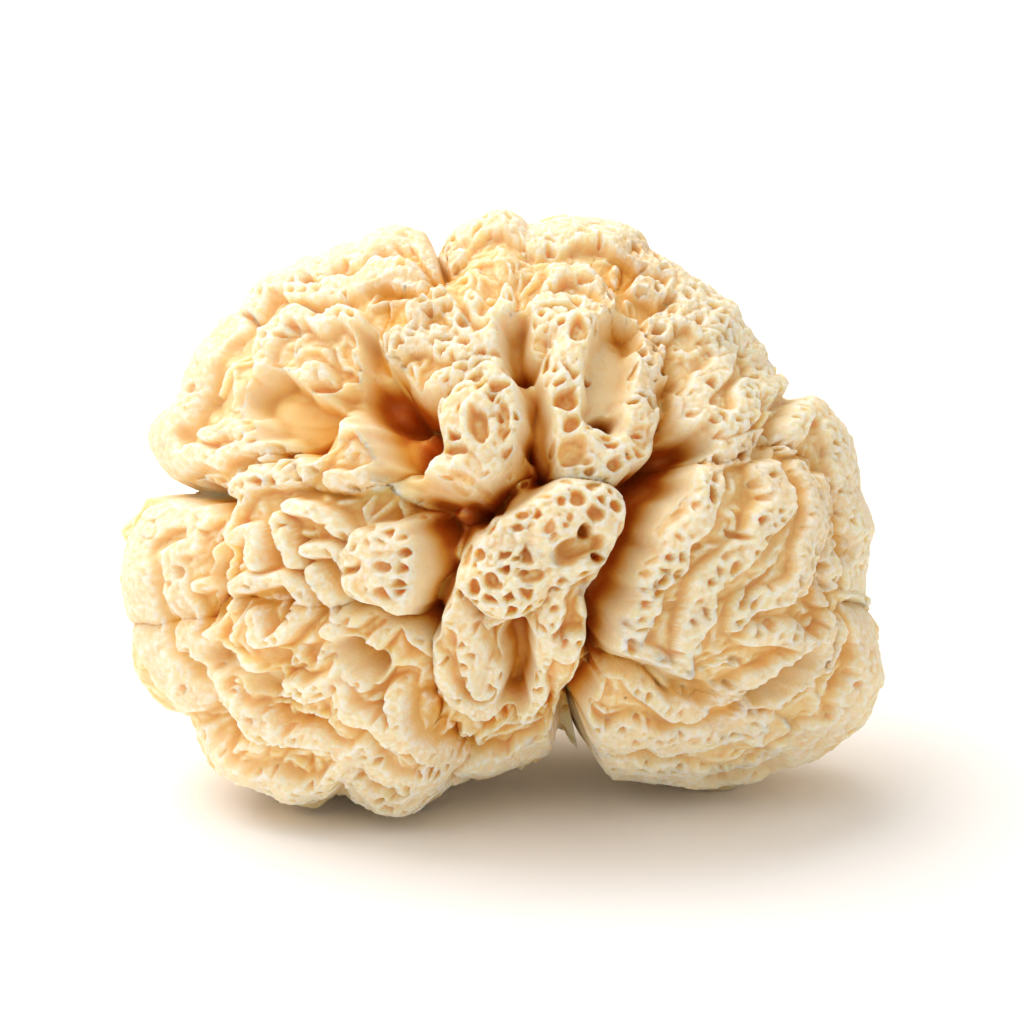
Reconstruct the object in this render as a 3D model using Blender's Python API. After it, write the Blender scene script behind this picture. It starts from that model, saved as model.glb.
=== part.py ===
"""A dried snow fungus head, about 97 mm wide, lying on the lower fronds as it dries.

The head is one grown piece. Every frond is a thin wall that fans out of a common root
and swells at its outer end into a thick, pitted, meandering crown. The crowns that the
front shows are laid by hand; those of the sides and the back follow a rule. Deep hollows
part the main bundles of fronds and reach into the heart that all of them leave.

Frond crowns are given on the head's face in millimetres: across to the right of the
middle, and up from the lowest crown. The face leans back by FACE_TILT, and a dome over
it says how far forward a crown stands. The head rests on z = 0.
"""

import math

import bmesh
import bpy
import numpy as np
from mathutils import Matrix

MM = 0.001
SEED = 11

# The dome that carries the crowns, on the face and forward of it
DOME_CENTRE = (0.3, 37.8)
DOME_HALF = (48.0, 38.2)
DOME_DEPTH = 31.0
ROOT = (4.5, 37.0, -20.0)

# How the face stands on the floor
FACE_TILT = math.radians(18.0)
FLOOR_RISE = -1.9
OUTLINE_LEAN = 0.04
OUTLINE_ONSET = 4

# A frond's section: the share of the way from the root, and of the crown's half width
ROOT_REACH = 0.62
ROOT_WIDTH = 0.8
RIM_WIDTH = 0.62
RIM_DROP = 0.12
LIP_DROP = 0.95
PITTED_STEP = 4.9
PLAIN_STEP = 6.6
RING_STEP = 9.8
PIT_DEPTH = 0.9
WOBBLE = 0.10
END_DROP = 0.8
END_CAP = 0.45
BEND_LIMIT = 0.85
STRAIGHT = 1e-6

# The solid heart that all fronds leave, and the cut foot at the back
HEART_HALF = (39.5, 30.8, 25.3)
HEART_CENTRE = (0.3, 38.2, -2.5)
HEART_SEGMENTS = 20
HEART_RINGS = 12
FOOT_SIDES = 18
FOOT_RADIUS = 10.0
FOOT_FLARE = 1.35
FOOT_BACK = -31.5

FLOOR_CUTTER = 200.0
SHORTEST_EDGE = 2e-6
CREAM = (0.86, 0.70, 0.42, 1.0)

# The deep hollows between the main bundles: half width at the dome, and the line on the face. A hollow narrows
# towards the root, stands HOLLOW_LIFT over the dome and ends at HOLLOW_FLOOR of the way from the root
MAIN_HOLLOWS = (
    (3.6, ((24.0, 46.6), (20.6, 43.6), (18.0, 39.6), (17.4, 36.0), (15.6, 31.9), (13.4, 27.5), (11.9, 22.4))),
    (2.8, ((12.4, 24.0), (11.4, 19.5), (9.6, 15.0), (9.4, 10.0))),
    (2.6, ((2.5, 60.0), (3.0, 56.4), (4.0, 52.2), (5.2, 47.5), (4.6, 43.4), (1.0, 40.6), (-3.6, 38.6), (-8.6, 40.4))),
    (3.0, ((-16.6, 54.0), (-14.4, 50.6), (-12.6, 47.2), (-11.0, 44.9))),
    (2.4, ((-9.2, 36.6), (-7.9, 32.5), (-8.0, 28.1), (-9.4, 25.0))),
    (3.4, ((-30.4, 51.0), (-27.0, 49.0), (-23.4, 46.4))),
    (2.6, ((-44.0, 41.6), (-39.0, 40.4), (-35.2, 38.0), (-35.9, 33.6), (-36.6, 29.0), (-37.0, 24.6))),
    (2.4, ((2.4, 22.6), (1.9, 18.8), (1.2, 15.4))),
)
HOLLOW_LIFT = 4.0
HOLLOW_FLOOR = 0.69
HOLLOW_STEP = 8.5

# Hand-laid crowns: half width, lift off the dome, pitting from 0 to 1, and the line on the face
CENTRE_FRONDS = (
    (2.6, 3.0, 1.0, ((1.6, 36.3), (2.5, 39.0), (5.0, 41.0), (8.3, 42.0), (11.8, 41.0), (14.5, 38.5), (15.0, 34.4),
                     (14.0, 30.3), (11.5, 26.8))),
    (1.8, 2.0, 0.5, ((9.8, 22.5), (8.3, 21.0), (6.5, 22.5), (6.3, 26.0), (7.3, 29.4))),
    (2.3, 3.0, 1.0, ((2.5, 33.1), (0.0, 34.4), (-3.1, 35.0), (-5.6, 33.5), (-6.3, 30.6), (-5.3, 27.8), (-4.6, 25.0),
                     (-3.5, 22.5), (-2.8, 19.4), (-2.0, 16.9))),
    (1.8, 2.0, 0.8, ((4.4, 30.6), (1.9, 29.4), (-0.6, 28.8), (-2.8, 27.5))),
    (1.6, 1.0, 0.3, ((-12.8, 24.4), (-10.0, 22.3), (-7.3, 19.4), (-6.0, 15.6), (-3.1, 13.5), (0.0, 14.5),
                     (0.6, 17.0), (-1.3, 19.0))),
    (1.6, 1.0, 0.3, ((-1.0, 25.0), (1.3, 25.5), (3.8, 23.8), (5.0, 21.5), (4.5, 18.5), (4.5, 15.0), (3.5, 13.1))),
    (1.6, -6.0, 0.2, ((-12.8, 16.3), (-12.1, 11.3), (-9.4, 8.1), (-3.8, 5.5), (1.9, 6.8), (6.3, 9.4), (9.0, 13.5),
                      (10.6, 16.3))),
    (2.5, 1.0, 1.0, ((-11.9, 47.5), (-9.4, 50.3), (-7.3, 54.0), (-5.3, 55.0), (-1.9, 55.8), (1.0, 55.0), (2.8, 52.8),
                     (1.9, 48.8), (1.9, 45.6))),
    (1.9, 3.0, 0.8, ((0.0, 52.5), (-2.8, 50.6), (-3.0, 47.5), (-1.0, 45.6), (-0.6, 42.8), (-3.1, 41.0), (-6.3, 41.8),
                     (-6.9, 43.8), (-4.8, 45.3))),
    (1.5, 0.0, 0.3, ((-7.5, 43.5), (-10.6, 43.8), (-13.1, 44.5), (-15.3, 42.8), (-18.1, 42.3), (-20.6, 42.5))),
    (2.7, 0.5, 1.0, ((5.6, 62.3), (8.5, 61.3), (8.3, 58.1), (9.0, 55.3), (7.5, 52.3), (7.9, 48.5), (10.0, 45.3),
                     (13.5, 44.8), (16.9, 46.9), (20.0, 49.4), (21.0, 52.5), (19.4, 55.6), (19.0, 58.8), (17.5, 61.0))),
    (1.8, 1.0, 0.8, ((11.5, 60.0), (12.0, 56.0), (11.3, 51.9), (12.5, 48.5), (15.0, 49.4))),
)
LEFT_FRONDS = (
    (2.4, 1.0, 0.3, ((-14.4, 47.8), (-17.3, 50.0), (-20.6, 48.5), (-22.5, 46.3), (-25.0, 43.5), (-29.8, 43.0),
                     (-32.1, 41.3), (-33.5, 38.8), (-34.5, 35.6), (-36.0, 32.5), (-36.0, 29.4))),
    (1.3, 0.0, 0.3, ((-25.0, 39.1), (-21.5, 38.3), (-18.8, 36.3), (-16.5, 34.0), (-14.8, 31.8), (-14.4, 28.8),
                     (-13.1, 26.3))),
    (1.6, 1.5, 0.7, ((-15.6, 34.4), (-12.8, 35.4), (-10.0, 34.0), (-9.5, 31.0), (-11.0, 28.8), (-12.8, 30.6))),
    (1.4, 0.0, 0.3, ((-22.8, 33.8), (-20.3, 34.0), (-18.8, 31.9), (-18.0, 28.5), (-16.8, 27.0), (-18.5, 25.5),
                     (-20.8, 26.0), (-22.0, 28.8), (-23.0, 31.3))),
    (1.4, 0.0, 0.4, ((-34.0, 27.5), (-32.5, 29.4), (-28.8, 30.3), (-25.6, 30.0), (-25.0, 26.9), (-26.5, 23.8),
                     (-29.4, 22.8), (-30.3, 25.3))),
    (1.2, -2.0, 0.2, ((-32.5, 35.4), (-29.8, 36.0), (-29.8, 32.5))),
    (1.2, -1.0, 0.2, ((-26.9, 37.5), (-26.3, 35.0), (-25.0, 32.5))),
    (1.4, 0.0, 0.3, ((-21.3, 23.8), (-19.4, 22.5), (-16.9, 21.3), (-14.4, 23.8))),
    (1.6, 0.0, 0.3, ((-33.5, 15.3), (-31.3, 12.3), (-27.5, 10.0), (-23.8, 9.8), (-19.4, 7.9), (-16.9, 9.0))),
    (1.4, -1.0, 0.4, ((-19.4, 17.3), (-18.5, 14.4), (-15.6, 12.5), (-13.8, 10.9), (-12.5, 13.1), (-13.0, 16.3))),
    (1.6, -1.0, 0.4, ((-17.5, 8.5), (-15.3, 6.3), (-11.5, 4.4), (-9.0, 6.0))),
    (1.8, -9.0, 0.2, ((-10.0, 4.0), (-5.5, 5.0), (-1.0, 4.5), (3.0, 7.0))),
    (1.6, -1.0, 0.5, ((-36.9, 20.6), (-33.8, 20.0), (-31.3, 19.0), (-29.0, 16.5), (-25.0, 16.3), (-20.6, 17.5),
                      (-18.5, 19.0), (-17.0, 17.8))),
)
OUTER_LEFT_FRONDS = (
    (2.2, -6.0, 0.0, ((-38.8, 38.5), (-42.5, 38.6), (-45.3, 36.5), (-46.3, 32.3), (-45.5, 27.8), (-44.9, 23.8),
                      (-43.0, 19.4), (-41.0, 17.1), (-38.8, 15.0))),
    (1.6, -2.0, 0.2, ((-38.5, 40.0), (-40.5, 38.5), (-40.0, 34.8), (-42.0, 33.0), (-41.8, 28.8), (-40.8, 25.0),
                      (-40.3, 21.9))),
    (1.3, -2.0, 0.3, ((-38.8, 28.8), (-36.6, 29.0), (-36.5, 25.6), (-36.5, 21.3), (-34.4, 20.0))),
    (1.7, -2.0, 0.4, ((-40.0, 21.9), (-37.5, 19.8), (-35.6, 16.3), (-32.5, 13.5), (-29.8, 10.6), (-26.0, 9.8))),
    (1.5, 0.0, 0.5, ((-37.1, 10.6), (-35.3, 7.3), (-32.3, 5.3), (-28.1, 4.3), (-24.4, 3.0), (-21.9, 3.5),
                     (-21.0, 5.6), (-19.4, 6.9))),
    (1.6, 0.0, 0.5, ((-19.4, 6.9), (-18.0, 4.8), (-16.0, 2.3), (-12.5, 1.6), (-9.3, 3.1), (-6.0, 5.0))),
    (1.8, -7.0, 0.1, ((-33.4, 62.5), (-35.3, 59.8), (-37.0, 57.8), (-38.9, 54.9), (-40.4, 52.0), (-42.1, 49.0),
                      (-42.3, 46.9), (-41.3, 44.8))),
    (1.5, -3.0, 0.3, ((-41.5, 43.3), (-38.8, 46.0), (-36.0, 45.6), (-33.5, 46.5), (-30.5, 47.5), (-29.8, 46.0))),
    (1.2, -2.0, 0.2, ((-37.5, 48.4), (-35.6, 49.4), (-32.5, 48.5))),
)
UPPER_FRONDS = (
    (2.0, -5.0, 0.2, ((-8.8, 70.3), (-9.8, 72.3), (-13.0, 73.3), (-15.3, 72.5), (-17.5, 71.0), (-20.0, 71.1),
                      (-22.8, 69.9), (-25.3, 69.3), (-26.5, 67.9), (-29.0, 67.1), (-31.5, 65.0))),
    (1.5, -2.0, 0.4, ((-30.6, 56.0), (-30.3, 58.8), (-28.5, 61.5), (-25.0, 63.5), (-22.3, 62.3), (-19.4, 63.5),
                      (-17.3, 60.6), (-16.0, 57.8))),
    (1.8, -2.0, 0.8, ((-30.3, 52.5), (-26.3, 51.9), (-22.5, 52.5), (-19.4, 52.5))),
    (1.5, -2.0, 0.8, ((-29.8, 55.8), (-26.3, 55.3), (-22.8, 56.3))),
    (2.3, 0.0, 0.8, ((-17.3, 58.5), (-14.4, 58.8), (-11.5, 60.3), (-8.8, 60.3), (-6.0, 59.4), (-3.8, 59.0),
                     (-0.3, 60.0), (0.6, 62.3))),
    (1.4, -1.0, 0.6, ((-11.0, 61.3), (-10.3, 64.0), (-7.5, 64.8), (-6.0, 62.8), (-4.4, 60.3))),
    (1.4, -2.0, 0.5, ((-3.8, 65.0), (-1.9, 62.8), (0.0, 63.5), (0.6, 66.3))),
    (1.6, -3.0, 0.3, ((-25.8, 66.3), (-22.0, 66.9), (-18.0, 67.3), (-14.0, 68.6), (-10.5, 67.8))),
    (1.8, -4.0, 0.2, ((-6.8, 70.6), (-5.0, 72.8), (-2.3, 74.1), (0.5, 74.8), (2.5, 73.8))),
    (2.2, -4.0, 0.3, ((4.0, 72.5), (7.5, 73.8), (11.5, 73.9), (14.8, 73.0), (17.5, 71.3))),
    (1.3, -3.0, 0.4, ((3.5, 62.8), (4.4, 64.6), (7.5, 65.5), (10.6, 64.4), (12.9, 62.8), (13.3, 65.5), (11.3, 68.5),
                      (8.1, 69.5), (6.0, 67.8))),
    (1.9, -5.0, 0.4, ((18.1, 70.3), (20.4, 69.3), (23.0, 66.5), (26.0, 64.4), (28.6, 63.1), (29.4, 61.0),
                      (31.5, 57.8), (32.5, 54.8), (35.0, 52.3))),
    (2.2, -1.0, 0.7, ((14.0, 62.5), (17.5, 61.5), (23.8, 63.1), (26.9, 60.6), (27.5, 56.9), (25.0, 54.4),
                      (24.4, 51.3), (26.9, 49.4), (29.8, 50.0), (30.0, 53.1))),
    (1.5, -3.0, 0.4, ((17.8, 66.8), (20.0, 66.3), (23.8, 65.0), (25.0, 61.3))),
)
RIGHT_FRONDS = (
    (2.5, 1.0, 1.0, ((33.1, 47.3), (29.4, 46.3), (26.5, 44.8), (25.3, 41.3), (24.0, 38.1), (21.5, 35.0), (21.0, 32.5),
                     (18.8, 30.6), (17.5, 27.5), (16.0, 24.4), (16.0, 21.3), (18.8, 19.8))),
    (2.3, 1.0, 0.9, ((32.5, 43.8), (33.8, 40.0), (31.9, 36.9), (29.4, 33.8), (25.0, 30.0), (23.8, 26.3), (22.5, 22.5),
                     (21.5, 19.0))),
    (1.9, -1.0, 0.5, ((37.5, 43.8), (39.0, 38.8), (37.5, 34.4), (36.3, 29.4), (30.0, 27.5), (29.4, 24.4), (35.0, 23.5),
                      (37.5, 22.5))),
    (2.0, 0.0, 0.5, ((40.0, 23.1), (39.4, 21.3), (35.6, 20.0), (32.5, 18.1), (29.4, 16.3), (25.0, 14.4), (21.3, 13.5),
                     (17.5, 16.3))),
    (2.0, -1.0, 0.5, ((31.9, 16.3), (31.3, 13.1), (29.4, 11.3), (25.0, 10.3), (20.6, 9.8), (16.9, 10.6), (13.8, 9.8),
                      (11.3, 11.0), (10.3, 13.5), (11.5, 16.3))),
    (2.4, -5.0, 0.2, ((36.9, 47.5), (37.5, 51.0), (39.4, 51.6), (41.5, 49.5), (43.5, 45.6), (44.0, 43.1), (43.8, 40.3),
                      (45.1, 36.3), (44.5, 33.1), (44.5, 28.8))),
    (2.2, -7.0, 0.1, ((45.3, 26.9), (46.8, 22.5), (46.5, 18.0), (44.5, 14.4), (41.8, 11.6), (38.8, 9.5), (36.3, 7.8))),
    (1.6, -3.0, 0.3, ((41.5, 25.6), (42.3, 22.5), (39.4, 19.0), (35.6, 16.3), (33.1, 13.5), (31.5, 10.6))),
    (1.9, -9.0, 0.3, ((10.4, 9.8), (13.8, 7.0), (17.5, 6.5), (22.5, 5.6), (27.5, 4.8), (31.3, 5.0), (36.3, 7.0))),
    (1.5, -2.0, 0.3, ((40.9, 42.5), (41.3, 37.5), (40.9, 32.5), (40.5, 28.0))),
)
FRONT_FRONDS = CENTRE_FRONDS + LEFT_FRONDS + OUTER_LEFT_FRONDS + UPPER_FRONDS + RIGHT_FRONDS

# Rings of crowns behind the face: share of the dome's outline, how much less at the bottom, forward place,
# crowns in the ring, half width, and pitting
BACK_RINGS = (
    (0.96, 0.08, -4.5, 10, 2.4, 0.4),
    (0.90, 0.07, -13.0, 9, 2.5, 0.4),
    (0.775, 0.0, -21.0, 7, 2.4, 0.4),
    (0.57, 0.0, -27.0, 5, 2.2, 0.3),
    (0.38, 0.0, -29.5, 4, 2.0, 0.2),
)
BOTTOM_SPREAD = 45.0
RING_GAP = 0.10
RING_POINTS = 7
RING_MEANDER = 2.6
RING_WAVES = 2.0
RING_JITTER = 0.08

# Where the outline of the head is notched between fronds: direction and spread in degrees, and how far it draws in
OUTLINE_NOTCHES = (
    (174.0, 0.14, 9.0),
    (103.0, 0.05, 7.0),
    (30.0, 0.07, 10.0),
    (-10.0, 0.05, 7.0),
    (-76.0, 0.14, 9.0),
)


def on_dome(across, up, lift):
    """Rows of (across, up, forward) for a crown that stands lift off the dome; by the outline it leans out."""
    away = np.stack((across - DOME_CENTRE[0], up - DOME_CENTRE[1]))
    spread = np.clip((away[0] / DOME_HALF[0]) ** 2 + (away[1] / DOME_HALF[1]) ** 2, 0.0, 1.0)
    lean = 1.0 + OUTLINE_LEAN * spread**OUTLINE_ONSET
    forward = DOME_DEPTH * np.sqrt(1.0 - spread) + lift
    return np.stack((DOME_CENTRE[0] + away[0] * lean, DOME_CENTRE[1] + away[1] * lean, forward), axis=1)


def face_to_world(face):
    """Turns rows of (across, up, forward) in millimetres into world millimetres."""
    across, up, forward = np.asarray(face, float).T
    lean, rise = math.sin(FACE_TILT), math.cos(FACE_TILT)
    return np.stack((across, up * lean - forward * rise, up * rise + forward * lean + FLOOR_RISE), axis=1)


def smooth_line(points, per_span=16):
    """A Catmull-Rom curve through the points, with per_span steps between each two."""
    padded = np.vstack((2 * points[0] - points[1], points, 2 * points[-1] - points[-2]))
    steps = np.linspace(0.0, 1.0, per_span, endpoint=False)[:, None]
    spans = []
    for before, start, end, after in zip(padded, padded[1:], padded[2:], padded[3:]):
        spans.append(
            0.5
            * (
                2 * start
                + (end - before) * steps
                + (2 * before - 5 * start + 4 * end - after) * steps**2
                + (3 * start - before - 3 * end + after) * steps**3
            )
        )
    return np.vstack((*spans, points[-1:]))


def crown_places(length, half_width, step):
    """Distances along a crown: a point at each end, one close to it that rounds the end, and even steps between."""
    cap = END_CAP * half_width
    inner = max(3, round((length - 2 * cap) / step) + 1)
    return np.concatenate(([0.0], np.linspace(cap, length - cap, inner), [length]))


def unit(rows):
    """Each row scaled to length 1."""
    return rows / np.linalg.norm(rows, axis=1, keepdims=True)


def frond_sections(line, root, half_width, pitting, step, random, root_reach=ROOT_REACH):
    """The closed section at each place along a crown, as an array of places by corners by 3.

    A section's corners run from the root up one wall, over the crown and down the other
    wall. Widths shrink in step with the distance from the root, so walls never cross.
    The walls start at root_reach of the way from the root.
    """
    dense = smooth_line(line)
    travelled = np.concatenate(([0.0], np.cumsum(np.linalg.norm(np.diff(dense, axis=0), axis=1))))
    places = crown_places(travelled[-1], half_width, step)
    crown = np.stack([np.interp(places, travelled, dense[:, k]) for k in range(3)], axis=1)
    tangent = unit(np.gradient(crown, places, axis=0))
    reach = np.linalg.norm(crown - root, axis=1)
    side = unit(np.cross(tangent, crown - root))

    turn = np.gradient(tangent, places, axis=0)
    bend = np.einsum("ij,ij->i", turn, side)
    to_end = np.minimum(places, places[-1] - places) / half_width
    round_end = np.sqrt(1.0 - (1.0 - np.clip(to_end, 0.0, 1.0)) ** 2)
    width = half_width * round_end * (1.0 + WOBBLE * random.uniform(-1, 1, len(places)))

    pit = np.where(np.arange(len(places)) % 2 == 0, 1.0, -0.1) * PIT_DEPTH * pitting
    pit[:2] = 0.0
    pit[-2:] = 0.0
    height = random.uniform(-1, 1, len(places)) * WOBBLE * half_width
    end_drop = END_DROP * (half_width - width.clip(max=half_width))

    def corner(share, drop, reach_share=None):
        """One corner of every section: a share of the width, and a drop below the crown."""
        limit = np.where(share * bend > 0, BEND_LIMIT / np.maximum(np.abs(bend), STRAIGHT), np.inf)
        offset = np.sign(share) * np.minimum(abs(share) * width, limit)
        along = 1.0 - (drop + end_drop - height * round_end) / reach
        if reach_share is not None:
            along = np.full(len(places), reach_share)
        return root + along[:, None] * (crown - root) + side * (offset * along)[:, None]

    corners = (
        corner(-ROOT_WIDTH, 0.0, root_reach),
        corner(-1.0, LIP_DROP * width),
        corner(-RIM_WIDTH, RIM_DROP * width),
        corner(0.0, pit * width),
        corner(RIM_WIDTH, RIM_DROP * width),
        corner(1.0, LIP_DROP * width),
        corner(ROOT_WIDTH, 0.0, root_reach),
    )
    return np.stack(corners, axis=1)


def frond_mesh(name, sections):
    """Skins a frond's sections into one closed mesh, with both walls split along matching diagonals."""
    corners = sections.shape[1]
    mesh = bmesh.new()
    verts = [[mesh.verts.new(point * MM) for point in section] for section in sections]
    for here, there in zip(verts, verts[1:]):
        for k in range(corners):
            n = (k + 1) % corners
            if k < corners // 2:
                mesh.faces.new((here[k], there[k], there[n]))
                mesh.faces.new((here[k], there[n], here[n]))
            else:
                mesh.faces.new((here[k], there[k], here[n]))
                mesh.faces.new((there[k], there[n], here[n]))
    bmesh.ops.remove_doubles(mesh, verts=mesh.verts, dist=1e-7)
    bmesh.ops.recalc_face_normals(mesh, faces=mesh.faces)
    data = bpy.data.meshes.new(name)
    mesh.to_mesh(data)
    mesh.free()
    return data


def hand_laid_lines():
    """World crown lines of the front, with their half widths, pitting and section steps."""
    for half_width, lift, pitting, line in FRONT_FRONDS:
        across, up = np.array(line, float).T
        step = PITTED_STEP if pitting >= 0.5 else PLAIN_STEP
        yield half_width, pitting, step, face_to_world(on_dome(across, up, lift))


def ring_lines(random):
    """World crown lines of the sides and back: rings round the foot, broken into meandering crowns."""
    for ring, (share, less_below, forward, count, half_width, pitting) in enumerate(BACK_RINGS):
        for k in range(count):
            middle = 2 * math.pi * (k + 0.5 * (ring % 2)) / count + random.uniform(-RING_JITTER, RING_JITTER)
            half_turn = math.pi / count * (1.0 - RING_GAP)
            turn = np.linspace(middle - half_turn, middle + half_turn, RING_POINTS)
            notch = sum(
                depth * np.exp(-(((np.degrees(turn) - angle + 180) % 360 - 180) / spread) ** 2)
                for angle, depth, spread in (*OUTLINE_NOTCHES, (-90.0, less_below, BOTTOM_SPREAD))
            )
            reach = share - notch
            phase = random.uniform(0, 2 * math.pi)
            wave = RING_MEANDER * np.sin(RING_WAVES * math.pi * np.linspace(-1, 1, RING_POINTS) + phase)
            place = (
                DOME_CENTRE[0] + DOME_HALF[0] * reach * np.cos(turn),
                DOME_CENTRE[1] + DOME_HALF[1] * reach * np.sin(turn),
                forward + wave,
            )
            yield half_width, pitting, RING_STEP, face_to_world(np.stack(place, axis=1))


def add_fronds(collection):
    """Every frond as its own object in the collection that the heart is joined with."""
    random = np.random.default_rng(SEED)
    root = face_to_world([ROOT])[0]
    for number, (half_width, pitting, step, line) in enumerate([*hand_laid_lines(), *ring_lines(random)]):
        sections = frond_sections(line, root, half_width, pitting, step, random)
        name = f"frond_{number:03d}"
        collection.objects.link(bpy.data.objects.new(name, frond_mesh(name, sections)))


def add_hollows(collection):
    """The bodies of the deep hollows, shaped like fronds, in the collection that the heart is cut with."""
    random = np.random.default_rng(SEED)
    root = face_to_world([ROOT])[0]
    for number, (half_width, line) in enumerate(MAIN_HOLLOWS):
        across, up = np.array(line, float).T
        place = face_to_world(on_dome(across, up, HOLLOW_LIFT))
        sections = frond_sections(place, root, half_width, 0.0, HOLLOW_STEP, random, HOLLOW_FLOOR)
        name = f"hollow_{number:02d}"
        collection.objects.link(bpy.data.objects.new(name, frond_mesh(name, sections)))


def face_matrix(centre):
    """The placement of a body whose own axes are the face's, at a place given on the face."""
    place = face_to_world([centre])[0] * MM
    return Matrix.Translation(place) @ Matrix.Rotation(-FACE_TILT, 4, "X")


def own(thing, collection, name):
    """Names an object and moves it to a collection."""
    thing.name = name
    for owner in list(thing.users_collection):
        owner.objects.unlink(thing)
    collection.objects.link(thing)
    return thing


def add_heart(collection):
    """The solid heart where the fronds meet, an ellipsoid that they all reach into."""
    bpy.ops.mesh.primitive_uv_sphere_add(segments=HEART_SEGMENTS, ring_count=HEART_RINGS, radius=1.0)
    heart = own(bpy.context.object, collection, "fruit_body")
    across, up, forward = HEART_HALF
    heart.data.transform(face_matrix(HEART_CENTRE) @ Matrix.Diagonal((across * MM, forward * MM, up * MM, 1.0)))
    return heart


def add_foot(collection):
    """The cut foot at the back, where the head grew out of the wood: a short cone with a flat end."""
    depth = HEART_CENTRE[2] - FOOT_BACK
    bpy.ops.mesh.primitive_cone_add(
        vertices=FOOT_SIDES, radius1=FOOT_RADIUS * FOOT_FLARE * MM, radius2=FOOT_RADIUS * MM, depth=depth * MM
    )
    foot = own(bpy.context.object, collection, "foot")
    centre = (HEART_CENTRE[0], HEART_CENTRE[1], HEART_CENTRE[2] - depth / 2)
    foot.data.transform(face_matrix(centre) @ Matrix.Rotation(math.radians(-90), 4, "X"))
    return foot


def add_floor_cutter(collection):
    """A block under z = 0 that trims the lowest crowns to small flat spots."""
    size = FLOOR_CUTTER * MM
    bpy.ops.mesh.primitive_cube_add(size=size, location=(0, 0, -size / 2))
    cutter = own(bpy.context.object, collection, "floor_cutter")
    cutter.hide_render = True
    cutter.display_type = "WIRE"
    return cutter


def apply_boolean(target, operation, **operand):
    """Adds one Boolean to the target and keeps its result as the target's mesh."""
    boolean = target.modifiers.new(operation.lower(), "BOOLEAN")
    boolean.operation = operation
    boolean.solver = "MANIFOLD"
    for key, value in operand.items():
        setattr(boolean, key, value)
    bpy.context.view_layer.update()
    graph = bpy.context.evaluated_depsgraph_get()
    result = bpy.data.meshes.new_from_object(target.evaluated_get(graph))
    target.modifiers.clear()
    target.data = result


def island_of(start):
    """The vertices joined to one vertex by edges."""
    found = {start}
    waiting = [start]
    while waiting:
        for edge in waiting.pop().link_edges:
            for vert in edge.verts:
                if vert not in found:
                    found.add(vert)
                    waiting.append(vert)
    return found


def keep_outer_skin(target):
    """Drops the skins of sealed hollows between fronds, so that they are filled, and splits faces into triangles."""
    mesh = bmesh.new()
    mesh.from_mesh(target.data)
    bmesh.ops.dissolve_degenerate(mesh, edges=mesh.edges, dist=SHORTEST_EDGE)
    bmesh.ops.triangulate(mesh, faces=mesh.faces)
    left = set(mesh.verts)
    islands = []
    while left:
        island = island_of(next(iter(left)))
        left -= island
        islands.append(island)
    outer = max(islands, key=len)
    bmesh.ops.delete(mesh, geom=[v for v in mesh.verts if v not in outer], context="VERTS")
    mesh.to_mesh(target.data)
    mesh.free()


def centre_on_floor(target):
    """Moves the head so that its box stands centred over the origin."""
    places = np.array([vert.co[:] for vert in target.data.vertices])
    middle = (places.min(axis=0) + places.max(axis=0)) / 2
    target.data.transform(Matrix.Translation((-middle[0], -middle[1], 0.0)))


def cream_material():
    """Dry, faintly waxy cream."""
    material = bpy.data.materials.new("dried_fungus")
    material.use_nodes = True
    shader = material.node_tree.nodes["Principled BSDF"]
    shader.inputs["Base Color"].default_value = CREAM
    shader.inputs["Roughness"].default_value = 0.6
    shader.inputs["Metallic"].default_value = 0.0
    return material


def clear(collection):
    """Takes a collection's used bodies away."""
    for used in list(collection.objects):
        bpy.data.objects.remove(used, do_unlink=True)


def main():
    """Builds the head: the hollowed heart, joined with the foot and every frond, then trimmed at the floor."""
    for thing in list(bpy.data.objects):
        bpy.data.objects.remove(thing, do_unlink=True)
    head = bpy.data.collections.new("snow_fungus")
    helpers = bpy.data.collections.new("joined_into_the_head")
    cutters = bpy.data.collections.new("cutters")
    for collection in (head, helpers, cutters):
        bpy.context.scene.collection.children.link(collection)

    heart = add_heart(head)
    add_hollows(cutters)
    apply_boolean(heart, "DIFFERENCE", operand_type="COLLECTION", collection=cutters)
    clear(cutters)
    add_foot(helpers)
    add_fronds(helpers)
    apply_boolean(heart, "UNION", operand_type="COLLECTION", collection=helpers)
    clear(helpers)
    cutter = add_floor_cutter(cutters)
    apply_boolean(heart, "DIFFERENCE", object=cutter)
    clear(cutters)
    keep_outer_skin(heart)
    centre_on_floor(heart)
    heart.data.materials.clear()
    heart.data.materials.append(cream_material())


main()
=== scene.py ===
"""The dried snow fungus as it looks: one folded lacy head, cream on its crests over amber clefts; the cream is
partly painted highlight and the amber partly painted shade.
"""

import logging
import math
from dataclasses import dataclass, field
from enum import Enum, IntEnum

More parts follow.
